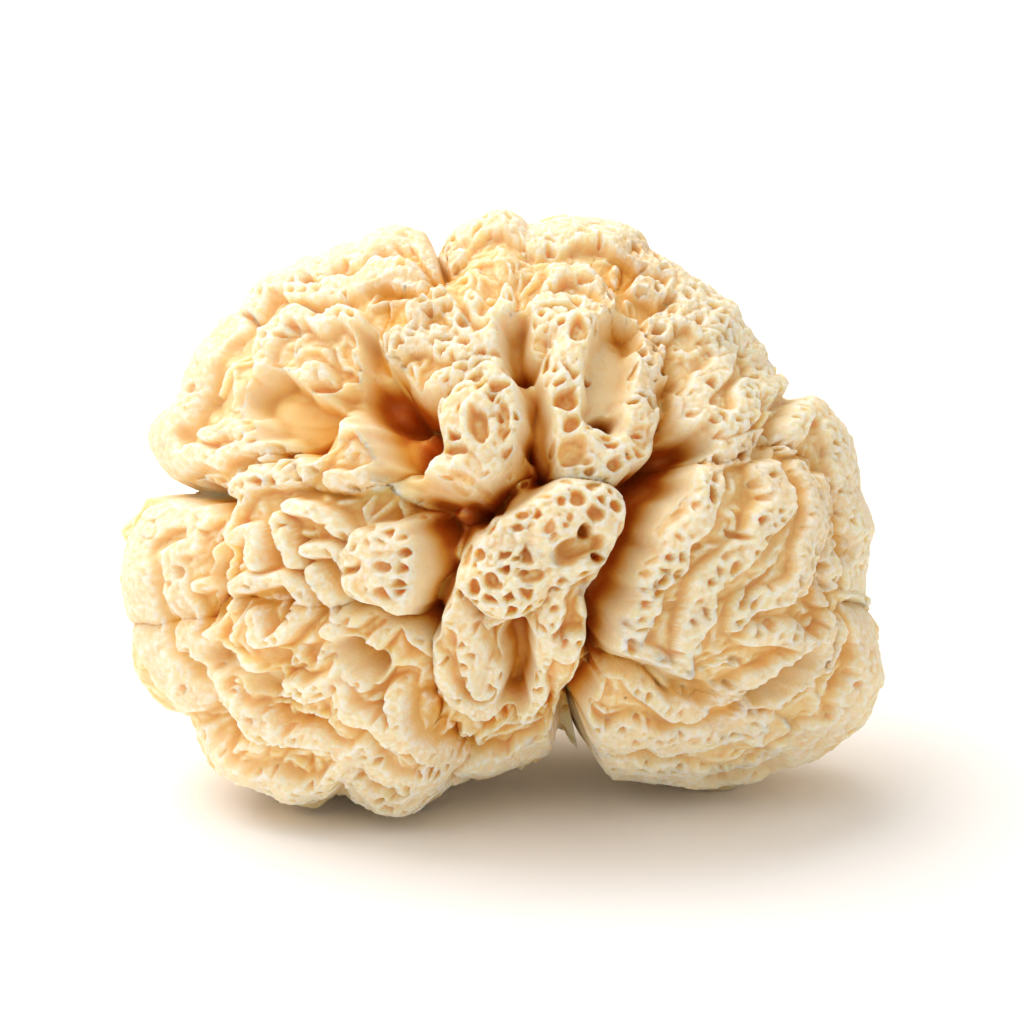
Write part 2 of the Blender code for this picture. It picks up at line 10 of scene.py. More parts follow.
import bpy
import numpy as np
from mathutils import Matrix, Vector


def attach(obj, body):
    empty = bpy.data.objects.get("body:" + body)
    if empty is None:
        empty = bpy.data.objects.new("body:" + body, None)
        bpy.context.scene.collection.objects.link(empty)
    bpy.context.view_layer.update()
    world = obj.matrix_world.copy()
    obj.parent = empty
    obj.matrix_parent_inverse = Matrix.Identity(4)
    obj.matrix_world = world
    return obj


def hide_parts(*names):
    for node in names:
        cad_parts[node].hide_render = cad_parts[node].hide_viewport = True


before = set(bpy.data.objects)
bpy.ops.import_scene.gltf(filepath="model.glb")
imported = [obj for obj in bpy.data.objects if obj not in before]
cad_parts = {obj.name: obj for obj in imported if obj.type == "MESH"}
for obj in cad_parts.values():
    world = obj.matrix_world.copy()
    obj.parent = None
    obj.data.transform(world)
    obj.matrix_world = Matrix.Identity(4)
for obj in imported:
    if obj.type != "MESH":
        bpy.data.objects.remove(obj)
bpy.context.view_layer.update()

log = logging.getLogger("snow_fungus")
Points = np.ndarray
Line = tuple[tuple[float, float], ...]
Place = tuple[float, float, float]
Colour = tuple[float, float, float]
MM = 0.001
BODY = "root"
NODE = "fruit_body"


class Skin(Enum):
    """How a lobe's skin has dried."""

    LACE = 0
    RUMPLED = 1
    SHEETS = 2
    PETAL = 3


@dataclass(frozen=True)
class SkinRelief:
    """The relief of one kind of skin, in millimetres.

    fold is the height of its rims over the hollows between, period the wavelength of the maze
    that they run in, stretch how much longer it is one way, rim half a rim's width, lace how
    much of the skin is netted, pit the depth of the net's pits, cell their distance, rib half
    the width of the ribs between them, and cap how far a lobe is one netted cap without rims.
    """

    fold: float
    period: float
    stretch: float
    rim: float
    lace: float
    pit: float
    cell: float
    rib: float
    cap: float


RELIEFS: dict[Skin, SkinRelief] = {
    Skin.LACE: SkinRelief(2.0, 8.5, 0.2, 0.5, 0.85, 2.3, 2.5, 0.26, 0.75),
    Skin.RUMPLED: SkinRelief(2.7, 8.4, 0.20, 0.24, 0.72, 1.7, 1.9, 0.22, 0.12),
    Skin.SHEETS: SkinRelief(3.8, 10.5, 0.10, 0.18, 0.65, 1.6, 1.8, 0.22, 0.0),
    Skin.PETAL: SkinRelief(2.6, 15.0, 0.15, 0.18, 0.30, 1.1, 2.0, 0.24, 0.0),
}


@dataclass(frozen=True)
class Crown:
    """A ridge seen on the face, in millimetres.

    half_width is half the ridge's width, pitting how open its net is from 0 to 1, and line
    its places across the face and up it.
    """

    half_width: float
    pitting: float
    line: Line


CROWNS: tuple[Crown, ...] = (
    Crown(2.6, 1.0, ((1.6, 36.3), (2.5, 39.0), (5.0, 41.0), (8.3, 42.0), (11.8, 41.0), (14.5, 38.5),
        (15.0, 34.4), (14.0, 30.3), (11.5, 26.8))),
    Crown(1.8, 0.5, ((9.8, 22.5), (8.3, 21.0), (6.5, 22.5), (6.3, 26.0), (7.3, 29.4))),
    Crown(2.3, 1.0, ((2.5, 33.1), (0.0, 34.4), (-3.1, 35.0), (-5.6, 33.5), (-6.3, 30.6), (-5.3, 27.8),
        (-4.6, 25.0), (-3.5, 22.5), (-2.8, 19.4), (-2.0, 16.9))),
    Crown(1.8, 0.8, ((4.4, 30.6), (1.9, 29.4), (-0.6, 28.8), (-2.8, 27.5))),
    Crown(1.6, 0.3, ((-12.8, 24.4), (-10.0, 22.3), (-7.3, 19.4), (-6.0, 15.6), (-3.1, 13.5), (0.0, 14.5),
        (0.6, 17.0), (-1.3, 19.0))),
    Crown(1.6, 0.3, ((-1.0, 25.0), (1.3, 25.5), (3.8, 23.8), (5.0, 21.5), (4.5, 18.5), (4.5, 15.0),
        (3.5, 13.1))),
    Crown(1.6, 0.2, ((-12.8, 16.3), (-12.1, 11.3), (-9.4, 8.1), (-3.8, 5.5), (1.9, 6.8), (6.3, 9.4),
        (9.0, 13.5), (10.6, 16.3))),
    Crown(2.5, 1.0, ((-11.9, 47.5), (-9.4, 50.3), (-7.3, 54.0), (-5.3, 55.0), (-1.9, 55.8), (1.0, 55.0),
        (2.8, 52.8), (1.9, 48.8), (1.9, 45.6))),
    Crown(1.9, 0.8, ((0.0, 52.5), (-2.8, 50.6), (-3.0, 47.5), (-1.0, 45.6), (-0.6, 42.8), (-3.1, 41.0),
        (-6.3, 41.8), (-6.9, 43.8), (-4.8, 45.3))),
    Crown(1.5, 0.3, ((-7.5, 43.5), (-10.6, 43.8), (-13.1, 44.5), (-15.3, 42.8), (-18.1, 42.3), (-20.6, 42.5))),
    Crown(2.7, 1.0, ((5.6, 62.3), (8.5, 61.3), (8.3, 58.1), (9.0, 55.3), (7.5, 52.3), (7.9, 48.5), (10.0, 45.3),
        (13.5, 44.8), (16.9, 46.9), (20.0, 49.4), (21.0, 52.5), (19.4, 55.6), (19.0, 58.8), (17.5, 61.0))),
    Crown(1.8, 0.8, ((11.5, 60.0), (12.0, 56.0), (11.3, 51.9), (12.5, 48.5), (15.0, 49.4))),
    Crown(2.4, 0.3, ((-14.4, 47.8), (-17.3, 50.0), (-20.6, 48.5), (-22.5, 46.3), (-25.0, 43.5), (-29.8, 43.0),
        (-32.1, 41.3), (-33.5, 38.8), (-34.5, 35.6), (-36.0, 32.5), (-36.0, 29.4))),
    Crown(1.3, 0.3, ((-25.0, 39.1), (-21.5, 38.3), (-18.8, 36.3), (-16.5, 34.0), (-14.8, 31.8), (-14.4, 28.8),
        (-13.1, 26.3))),
    Crown(1.6, 0.7, ((-15.6, 34.4), (-12.8, 35.4), (-10.0, 34.0), (-9.5, 31.0), (-11.0, 28.8), (-12.8, 30.6))),
    Crown(1.4, 0.3, ((-22.8, 33.8), (-20.3, 34.0), (-18.8, 31.9), (-18.0, 28.5), (-16.8, 27.0), (-18.5, 25.5),
        (-20.8, 26.0), (-22.0, 28.8), (-23.0, 31.3))),
    Crown(1.4, 0.4, ((-34.0, 27.5), (-32.5, 29.4), (-28.8, 30.3), (-25.6, 30.0), (-25.0, 26.9), (-26.5, 23.8),
        (-29.4, 22.8), (-30.3, 25.3))),
    Crown(1.2, 0.2, ((-32.5, 35.4), (-29.8, 36.0), (-29.8, 32.5))),
    Crown(1.2, 0.2, ((-26.9, 37.5), (-26.3, 35.0), (-25.0, 32.5))),
    Crown(1.4, 0.3, ((-21.3, 23.8), (-19.4, 22.5), (-16.9, 21.3), (-14.4, 23.8))),
    Crown(1.6, 0.3, ((-33.5, 15.3), (-31.3, 12.3), (-27.5, 10.0), (-23.8, 9.8), (-19.4, 7.9), (-16.9, 9.0))),
    Crown(1.4, 0.4, ((-19.4, 17.3), (-18.5, 14.4), (-15.6, 12.5), (-13.8, 10.9), (-12.5, 13.1), (-13.0, 16.3))),
    Crown(1.6, 0.4, ((-17.5, 8.5), (-15.3, 6.3), (-11.5, 4.4), (-9.0, 6.0))),
    Crown(1.8, 0.2, ((-10.0, 4.0), (-5.5, 5.0), (-1.0, 4.5), (3.0, 7.0))),
    Crown(1.6, 0.5, ((-36.9, 20.6), (-33.8, 20.0), (-31.3, 19.0), (-29.0, 16.5), (-25.0, 16.3), (-20.6, 17.5),
        (-18.5, 19.0), (-17.0, 17.8))),
    Crown(2.2, 0.0, ((-38.8, 38.5), (-42.5, 38.6), (-45.3, 36.5), (-46.3, 32.3), (-45.5, 27.8), (-44.9, 23.8),
        (-43.0, 19.4), (-41.0, 17.1), (-38.8, 15.0))),
    Crown(1.6, 0.2, ((-38.5, 40.0), (-40.5, 38.5), (-40.0, 34.8), (-42.0, 33.0), (-41.8, 28.8), (-40.8, 25.0),
        (-40.3, 21.9))),
    Crown(1.3, 0.3, ((-38.8, 28.8), (-36.6, 29.0), (-36.5, 25.6), (-36.5, 21.3), (-34.4, 20.0))),
    Crown(1.7, 0.4, ((-40.0, 21.9), (-37.5, 19.8), (-35.6, 16.3), (-32.5, 13.5), (-29.8, 10.6), (-26.0, 9.8))),
    Crown(1.5, 0.5, ((-37.1, 10.6), (-35.3, 7.3), (-32.3, 5.3), (-28.1, 4.3), (-24.4, 3.0), (-21.9, 3.5),
        (-21.0, 5.6), (-19.4, 6.9))),
    Crown(1.6, 0.5, ((-19.4, 6.9), (-18.0, 4.8), (-16.0, 2.3), (-12.5, 1.6), (-9.3, 3.1), (-6.0, 5.0))),
    Crown(1.8, 0.1, ((-33.4, 62.5), (-35.3, 59.8), (-37.0, 57.8), (-38.9, 54.9), (-40.4, 52.0), (-42.1, 49.0),
        (-42.3, 46.9), (-41.3, 44.8))),
    Crown(1.5, 0.3, ((-41.5, 43.3), (-38.8, 46.0), (-36.0, 45.6), (-33.5, 46.5), (-30.5, 47.5), (-29.8, 46.0))),
    Crown(1.2, 0.2, ((-37.5, 48.4), (-35.6, 49.4), (-32.5, 48.5))),
    Crown(2.0, 0.2, ((-8.8, 70.3), (-9.8, 72.3), (-13.0, 73.3), (-15.3, 72.5), (-17.5, 71.0), (-20.0, 71.1),
        (-22.8, 69.9), (-25.3, 69.3), (-26.5, 67.9), (-29.0, 67.1), (-31.5, 65.0))),
    Crown(1.5, 0.4, ((-30.6, 56.0), (-30.3, 58.8), (-28.5, 61.5), (-25.0, 63.5), (-22.3, 62.3), (-19.4, 63.5),
        (-17.3, 60.6), (-16.0, 57.8))),
    Crown(1.8, 0.8, ((-30.3, 52.5), (-26.3, 51.9), (-22.5, 52.5), (-19.4, 52.5))),
    Crown(1.5, 0.8, ((-29.8, 55.8), (-26.3, 55.3), (-22.8, 56.3))),
    Crown(2.3, 0.8, ((-17.3, 58.5), (-14.4, 58.8), (-11.5, 60.3), (-8.8, 60.3), (-6.0, 59.4), (-3.8, 59.0),
        (-0.3, 60.0), (0.6, 62.3))),
    Crown(1.4, 0.6, ((-11.0, 61.3), (-10.3, 64.0), (-7.5, 64.8), (-6.0, 62.8), (-4.4, 60.3))),
    Crown(1.4, 0.5, ((-3.8, 65.0), (-1.9, 62.8), (0.0, 63.5), (0.6, 66.3))),
    Crown(1.6, 0.3, ((-25.8, 66.3), (-22.0, 66.9), (-18.0, 67.3), (-14.0, 68.6), (-10.5, 67.8))),
    Crown(1.8, 0.2, ((-6.8, 70.6), (-5.0, 72.8), (-2.3, 74.1), (0.5, 74.8), (2.5, 73.8))),
    Crown(2.2, 0.3, ((4.0, 72.5), (7.5, 73.8), (11.5, 73.9), (14.8, 73.0), (17.5, 71.3))),
    Crown(1.3, 0.4, ((3.5, 62.8), (4.4, 64.6), (7.5, 65.5), (10.6, 64.4), (12.9, 62.8), (13.3, 65.5),
        (11.3, 68.5), (8.1, 69.5), (6.0, 67.8))),
    Crown(1.9, 0.4, ((18.1, 70.3), (20.4, 69.3), (23.0, 66.5), (26.0, 64.4), (28.6, 63.1), (29.4, 61.0),
        (31.5, 57.8), (32.5, 54.8), (35.0, 52.3))),
    Crown(2.2, 0.7, ((14.0, 62.5), (17.5, 61.5), (23.8, 63.1), (26.9, 60.6), (27.5, 56.9), (25.0, 54.4),
        (24.4, 51.3), (26.9, 49.4), (29.8, 50.0), (30.0, 53.1))),
    Crown(1.5, 0.4, ((17.8, 66.8), (20.0, 66.3), (23.8, 65.0), (25.0, 61.3))),
    Crown(2.5, 1.0, ((33.1, 47.3), (29.4, 46.3), (26.5, 44.8), (25.3, 41.3), (24.0, 38.1), (21.5, 35.0),
        (21.0, 32.5), (18.8, 30.6), (17.5, 27.5), (16.0, 24.4), (16.0, 21.3), (18.8, 19.8))),
    Crown(2.3, 0.9, ((32.5, 43.8), (33.8, 40.0), (31.9, 36.9), (29.4, 33.8), (25.0, 30.0), (23.8, 26.3),
        (22.5, 22.5), (21.5, 19.0))),
    Crown(1.9, 0.5, ((37.5, 43.8), (39.0, 38.8), (37.5, 34.4), (36.3, 29.4), (30.0, 27.5), (29.4, 24.4),
        (35.0, 23.5), (37.5, 22.5))),
    Crown(2.0, 0.5, ((40.0, 23.1), (39.4, 21.3), (35.6, 20.0), (32.5, 18.1), (29.4, 16.3), (25.0, 14.4),
        (21.3, 13.5), (17.5, 16.3))),
    Crown(2.0, 0.5, ((31.9, 16.3), (31.3, 13.1), (29.4, 11.3), (25.0, 10.3), (20.6, 9.8), (16.9, 10.6),
        (13.8, 9.8), (11.3, 11.0), (10.3, 13.5), (11.5, 16.3))),
    Crown(2.4, 0.2, ((36.9, 47.5), (37.5, 51.0), (39.4, 51.6), (41.5, 49.5), (43.5, 45.6), (44.0, 43.1),
        (43.8, 40.3), (45.1, 36.3), (44.5, 33.1), (44.5, 28.8))),
    Crown(2.2, 0.1, ((45.3, 26.9), (46.8, 22.5), (46.5, 18.0), (44.5, 14.4), (41.8, 11.6), (38.8, 9.5),
        (36.3, 7.8))),
    Crown(1.6, 0.3, ((41.5, 25.6), (42.3, 22.5), (39.4, 19.0), (35.6, 16.3), (33.1, 13.5), (31.5, 10.6))),
    Crown(1.9, 0.3, ((10.4, 9.8), (13.8, 7.0), (17.5, 6.5), (22.5, 5.6), (27.5, 4.8), (31.3, 5.0),
        (36.3, 7.0))),
    Crown(1.5, 0.3, ((40.9, 42.5), (41.3, 37.5), (40.9, 32.5), (40.5, 28.0))),
)


@dataclass(frozen=True)
class Pit:
    """A round or oval pit seen on the face: its place, half sizes, depth and turn."""

    place: tuple[float, float]
    half: tuple[float, float]
    depth: float
    turn: float = 0.0


PITS: tuple[Pit, ...] = (
    Pit((3.0, 38.3), (0.9, 0.8), 1.6), Pit((2.6, 36.5), (0.8, 0.6), 1.4), Pit((6.4, 37.1), (0.8, 0.8), 1.2),
    Pit((7.5, 39.4), (0.6, 0.6), 1.4), Pit((9.4, 39.8), (1.2, 1.0), 1.8), Pit((13.4, 38.8), (0.9, 0.9), 1.8),
    Pit((14.1, 36.0), (0.6, 1.6), 1.4), Pit((8.5, 37.9), (0.4, 0.4), 1.0), Pit((5.4, 40.0), (1.0, 0.5), 0.9),
    Pit((9.4, 34.3), (3.4, 1.9), 3.0, 20.0), Pit((10.0, 36.3), (0.8, 1.3), 5.0),
    Pit((11.5, 32.8), (1.2, 0.7), 5.0), Pit((-4.0, 33.1), (1.1, 1.3), 2.0), Pit((-1.8, 32.9), (0.6, 0.8), 1.6),
    Pit((-2.8, 29.6), (0.9, 0.9), 2.0), Pit((-0.4, 30.3), (1.2, 1.0), 2.0),
    Pit((-1.9, 31.1), (0.35, 0.35), 0.9), Pit((4.1, 30.9), (1.2, 0.9), 1.4), Pit((-5.4, 28.8), (0.7, 0.8), 1.8),
    Pit((1.9, 33.0), (0.5, 0.4), 1.0), Pit((8.9, 26.5), (0.9, 0.6), 1.2), Pit((12.1, 29.4), (0.7, 0.6), 1.0),
    Pit((7.3, 61.5), (0.5, 0.5), 1.2), Pit((9.4, 60.3), (1.2, 1.7), 1.6), Pit((11.0, 55.8), (0.7, 0.5), 1.4),
    Pit((8.1, 51.9), (1.6, 1.6), 2.4), Pit((8.4, 49.0), (1.4, 1.2), 1.8), Pit((9.0, 45.9), (2.0, 1.8), 2.0),
    Pit((6.6, 46.8), (0.5, 0.8), 1.4), Pit((10.6, 44.8), (0.7, 0.5), 1.4), Pit((11.1, 43.6), (0.7, 0.6), 1.4),
    Pit((12.5, 47.1), (0.8, 0.5), 1.2), Pit((17.1, 52.5), (0.5, 0.4), 1.6), Pit((18.8, 51.9), (1.2, 0.9), 0.9),
    Pit((17.5, 47.5), (2.2, 1.8), 1.1), Pit((12.8, 49.6), (1.8, 1.2), 7.0), Pit((-6.0, 53.5), (1.0, 1.0), 1.6),
    Pit((-2.8, 54.4), (1.2, 0.7), 1.6), Pit((0.3, 53.3), (1.4, 0.9), 1.6),
    Pit((-2.5, 48.8), (1.3, 2.2), 2.0, 15.0), Pit((0.6, 49.2), (0.9, 2.0), 1.4),
    Pit((-5.3, 46.3), (1.6, 0.8), 1.6), Pit((-4.6, 42.4), (2.0, 1.5), 1.6), Pit((-4.6, 61.5), (0.9, 0.8), 1.6),
    Pit((-6.9, 63.8), (1.0, 0.7), 1.2), Pit((-2.1, 63.8), (0.9, 1.1), 1.4), Pit((-11.0, 34.0), (0.8, 0.6), 2.0),
    Pit((-13.8, 31.9), (0.9, 0.9), 1.4), Pit((-11.9, 30.0), (0.9, 0.7), 2.0),
    Pit((25.9, 40.6), (0.7, 1.4), 2.2), Pit((28.5, 42.5), (0.8, 1.5), 1.8), Pit((30.6, 40.0), (0.9, 1.1), 1.8),
    Pit((28.4, 36.0), (1.9, 0.9), 2.0, -20.0), Pit((24.0, 34.4), (1.1, 0.8), 2.0),
    Pit((19.6, 30.6), (0.6, 0.8), 1.8), Pit((21.4, 31.3), (0.8, 1.0), 1.6), Pit((19.4, 28.8), (0.8, 0.5), 1.6),
    Pit((20.8, 26.8), (1.6, 0.9), 2.0), Pit((16.3, 22.5), (0.6, 1.2), 1.6), Pit((18.6, 22.9), (0.8, 1.1), 1.4),
    Pit((34.9, 32.8), (1.3, 1.7), 1.6), Pit((31.0, 29.8), (4.4, 0.6), 1.8, 45.0),
    Pit((28.2, 24.4), (3.4, 0.5), 1.6, 40.0), Pit((36.2, 19.4), (4.5, 1.1), 3.0, 38.0),
    Pit((26.6, 13.8), (1.1, 0.7), 1.6), Pit((29.4, 13.8), (0.8, 0.8), 1.4), Pit((12.5, 16.9), (0.9, 0.5), 1.6),
    Pit((12.5, 13.8), (0.9, 0.8), 1.4),
)


@dataclass(frozen=True)
class Cleft:
    """A deep gap between folds seen on the face: its half width, depth and line, in millimetres."""

    half_width: float
    depth: float
    line: Line


CLEFTS: tuple[Cleft, ...] = (
    Cleft(1.7, 10.0, ((25.0, 47.5), (20.6, 44.0), (17.5, 40.0), (17.5, 36.3), (15.3, 31.9), (13.3, 27.5),
                      (12.1, 22.5), (11.6, 20.0))),
    Cleft(2.0, 6.0, ((11.6, 20.0), (10.4, 16.5), (9.2, 13.0), (9.0, 9.0))),
    Cleft(3.0, 9.0, ((20.6, 43.2), (19.4, 41.0), (18.0, 38.0))),
    Cleft(1.2, 6.5, ((2.3, 61.9), (2.8, 56.9), (3.8, 52.5), (5.0, 47.5), (5.6, 43.8), (2.5, 41.3), (-0.6, 39.4))),
    Cleft(2.4, 8.5, ((-16.8, 54.4), (-14.4, 50.6), (-12.5, 46.9), (-10.6, 44.8))),
    Cleft(3.0, 5.0, ((-13.6, 54.0), (-12.0, 51.0), (-10.0, 47.8))),
    Cleft(1.2, 8.0, ((-9.4, 36.9), (-7.9, 32.5), (-8.0, 28.1), (-9.4, 25.0))),
    Cleft(1.5, 6.5, ((2.1, 22.5), (1.9, 18.8), (1.5, 15.0))),
    Cleft(6.0, 5.6, ((-28.6, 52.6), (-26.4, 50.2), (-23.4, 48.6))),
    Cleft(3.4, 4.6, ((-20.0, 52.4), (-16.6, 52.0))),
    Cleft(1.3, 5.5, ((-34.4, 38.8), (-35.8, 34.4), (-36.5, 30.0), (-36.9, 25.6))),
    Cleft(1.0, 4.5, ((-36.9, 20.6), (-33.1, 18.5), (-29.0, 16.3))),
    Cleft(1.3, 6.0, ((-18.8, 21.3), (-15.6, 19.0))),
    Cleft(1.1, 5.5, ((32.5, 15.9), (35.6, 17.8), (39.0, 20.0))),
    Cleft(0.9, 3.5, ((11.9, 20.6), (15.6, 19.0), (20.0, 18.5), (25.0, 16.3))),
    Cleft(0.9, 5.5, ((-16.9, 60.6), (-16.3, 56.9), (-16.0, 54.4))),
    Cleft(0.9, 4.0, ((21.5, 54.4), (21.0, 50.0), (23.8, 47.5))),
    Cleft(1.3, 6.0, ((-13.1, 43.8), (-8.8, 41.0), (-5.0, 39.2), (-2.5, 38.1))),
    Cleft(0.8, 3.0, ((36.3, 53.1), (34.2, 49.5), (33.4, 46.0))),
    Cleft(3.4, 5.0, ((14.6, 61.0), (13.6, 57.5), (12.9, 53.0), (12.8, 50.5))),
    Cleft(0.9, 5.0, ((-40.0, 41.0), (-37.0, 40.2), (-34.4, 38.8))),
)


@dataclass(frozen=True)
class Lobe:
    """One swollen lobe of the head, in millimetres on its face.

    middle is its place across and up, half its half sizes along its long axis and across it,
    fall how far its skin falls from its middle to its edge, turn the long axis's turn from
    level in degrees, lift how far its middle stands off the dome, and crease the direction of
    its folds in degrees.
    """

    middle: tuple[float, float]
    half: tuple[float, float]
    fall: float
    turn: float
    lift: float
    skin: Skin
    crease: float = 0.0


BUNDLES: dict[str, tuple[Lobe, ...]] = {
    "fungus_centre_fronds": (
        Lobe((8.5, 36.4), (7.6, 6.4), 6.0, 10.0, 3.4, Skin.LACE),
        Lobe((-0.4, 31.6), (6.5, 5.6), 6.0, 20.0, 3.0, Skin.LACE),
        Lobe((8.2, 24.5), (9.8, 4.8), 5.0, 80.0, 1.2, Skin.SHEETS, 80.0),
        Lobe((-6.0, 21.8), (9.0, 4.0), 5.0, -70.0, 1.4, Skin.SHEETS, -70.0),
        Lobe((-1.0, 15.6), (12.5, 11.0), 6.0, 5.0, 0.0, Skin.SHEETS, 80.0),
        Lobe((-1.6, 7.6), (8.6, 5.4), 4.0, 0.0, -4.0, Skin.SHEETS, 60.0),
    ),
    "fungus_upper_fronds": (
        Lobe((12.6, 53.6), (12.4, 9.4), 6.0, 80.0, 1.6, Skin.LACE),
        Lobe((-2.4, 51.6), (6.8, 5.6), 5.0, 35.0, 2.4, Skin.LACE),
        Lobe((-0.6, 45.6), (4.6, 3.2), 4.5, 90.0, 1.2, Skin.LACE),
        Lobe((-8.0, 43.3), (7.4, 3.1), 4.5, 5.0, 2.2, Skin.LACE),
        Lobe((-6.6, 62.6), (10.8, 7.6), 3.2, 12.0, 0.4, Skin.RUMPLED, 75.0),
        Lobe((-0.4, 68.6), (11.4, 9.0), 2.0, 10.0, -0.4, Skin.RUMPLED, 20.0),
        Lobe((11.0, 67.4), (14.0, 10.4), 2.0, 0.0, -0.2, Skin.RUMPLED, 10.0),
    ),
    "fungus_upper_left_fronds": (
        Lobe((-19.2, 45.8), (7.4, 6.2), 5.0, 55.0, 2.0, Skin.RUMPLED, 60.0),
        Lobe((-29.4, 54.0), (16.6, 11.6), 4.0, 52.0, -0.4, Skin.PETAL, 50.0),
        Lobe((-37.2, 47.6), (7.4, 6.8), 3.0, 60.0, -0.6, Skin.PETAL, 20.0),
        Lobe((-24.2, 63.6), (9.4, 8.6), 2.4, 30.0, 0.0, Skin.RUMPLED, 30.0),
        Lobe((-15.2, 66.0), (10.8, 9.8), 2.4, 10.0, -0.2, Skin.PETAL, 60.0),
    ),
    "fungus_left_fronds": (
        Lobe((-25.6, 36.6), (13.4, 11.4), 5.0, 40.0, 1.0, Skin.SHEETS, 30.0),
        Lobe((-13.4, 31.4), (5.8, 5.6), 4.0, 20.0, 1.8, Skin.LACE),
        Lobe((-41.0, 30.4), (12.0, 8.4), 5.0, 84.0, -1.5, Skin.PETAL, 80.0),
    ),
    "fungus_lower_left_fronds": (
        Lobe((-38.6, 18.6), (10.6, 8.6), 5.0, -50.0, -1.0, Skin.PETAL, -40.0),
        Lobe((-28.6, 21.8), (11.0, 9.6), 5.0, -10.0, 0.6, Skin.SHEETS, -10.0),
        Lobe((-18.4, 16.4), (10.6, 8.8), 5.0, -20.0, 0.8, Skin.SHEETS, -15.0),
        Lobe((-28.2, 9.4), (11.4, 8.0), 4.0, -25.0, -0.6, Skin.SHEETS, -30.0),
        Lobe((-14.2, 6.2), (10.6, 6.8), 4.0, 0.0, -0.4, Skin.SHEETS, 60.0),
    ),
    "fungus_upper_right_fronds": (
        Lobe((22.6, 60.8), (12.8, 11.0), 2.4, -45.0, 0.4, Skin.RUMPLED, -45.0),
        Lobe((29.8, 52.6), (10.4, 9.2), 2.6, -60.0, 0.4, Skin.RUMPLED, -40.0),
        Lobe((38.4, 45.0), (10.0, 8.4), 3.2, -60.0, -0.2, Skin.RUMPLED, -50.0),
        Lobe((39.6, 34.4), (10.6, 8.8), 3.0, 90.0, -0.4, Skin.RUMPLED, 80.0),
    ),
    "fungus_right_fronds": (
        Lobe((27.4, 32.4), (18.8, 12.4), 4.0, 48.0, 1.6, Skin.RUMPLED, 48.0),
        Lobe((30.6, 22.8), (13.0, 10.6), 3.4, 30.0, 1.0, Skin.RUMPLED, 30.0),
    ),
    "fungus_lower_right_fronds": (
        Lobe((38.6, 16.6), (12.0, 11.0), 4.0, 50.0, -0.6, Skin.PETAL, 50.0),
        Lobe((22.8, 11.4), (14.4, 8.8), 5.0, 3.0, 0.6, Skin.RUMPLED, 10.0),
    ),
}
LOBES: tuple[Lobe, ...] = tuple(lobe for bundle in BUNDLES.values() for lobe in bundle)
BUNDLE_OF: Points = np.repeat(np.arange(len(BUNDLES)), [len(bundle) for bundle in BUNDLES.values()])

OUTLINE: Line = (
    (-43.5, 47.5), (-43.4, 49.4), (-41.5, 52.5), (-40.0, 55.6), (-38.1, 58.8), (-36.3, 60.6), (-34.9, 63.1),
    (-32.1, 66.1), (-29.4, 68.5), (-26.1, 69.4), (-25.0, 70.8), (-22.5, 71.1), (-20.0, 72.4), (-17.5, 72.3),
    (-15.0, 74.0), (-13.1, 74.5), (-9.4, 73.6), (-8.4, 71.9), (-7.9, 70.0), (-7.4, 71.5), (-6.3, 73.1),
    (-2.5, 75.4), (0.6, 76.0), (3.0, 75.0), (3.5, 74.3), (7.5, 75.3), (11.3, 75.4), (15.0, 74.6), (18.1, 72.8),
    (18.8, 71.6), (21.0, 70.6), (23.8, 67.8), (26.9, 65.6), (29.8, 64.4), (30.6, 61.9), (32.9, 58.8),
    (33.1, 56.9), (35.9, 54.4), (35.8, 53.2), (37.4, 52.8), (39.0, 53.3), (41.0, 52.3), (43.5, 49.0),
    (45.1, 45.6), (45.5, 43.5), (45.1, 41.3), (46.9, 36.3), (46.0, 34.4), (46.0, 27.9), (47.3, 27.5),
    (48.8, 22.5), (48.5, 17.5), (46.3, 13.1), (43.1, 10.0), (40.0, 7.9), (36.9, 6.0), (31.3, 3.6), (27.5, 3.4),
    (22.5, 4.4), (17.5, 5.3), (14.0, 5.5), (10.0, 8.5), (8.8, 12.3), (7.3, 10.6), (6.3, 8.1), (3.8, 6.3),
    (0.0, 4.6), (-6.3, 3.8), (-9.4, 1.5), (-12.5, 0.1), (-16.3, 0.8), (-19.4, 2.9), (-21.0, 2.9), (-22.8, 1.4),
    (-26.3, 1.8), (-29.8, 3.4), (-32.8, 3.8), (-35.6, 6.0), (-37.5, 9.4), (-40.3, 13.5), (-42.8, 15.6),
    (-45.0, 18.1), (-46.9, 23.1), (-47.5, 27.5), (-48.4, 32.5), (-47.5, 36.9), (-45.3, 40.2), (-38.0, 41.0),
    (-41.3, 42.8), (-43.4, 46.3),
)


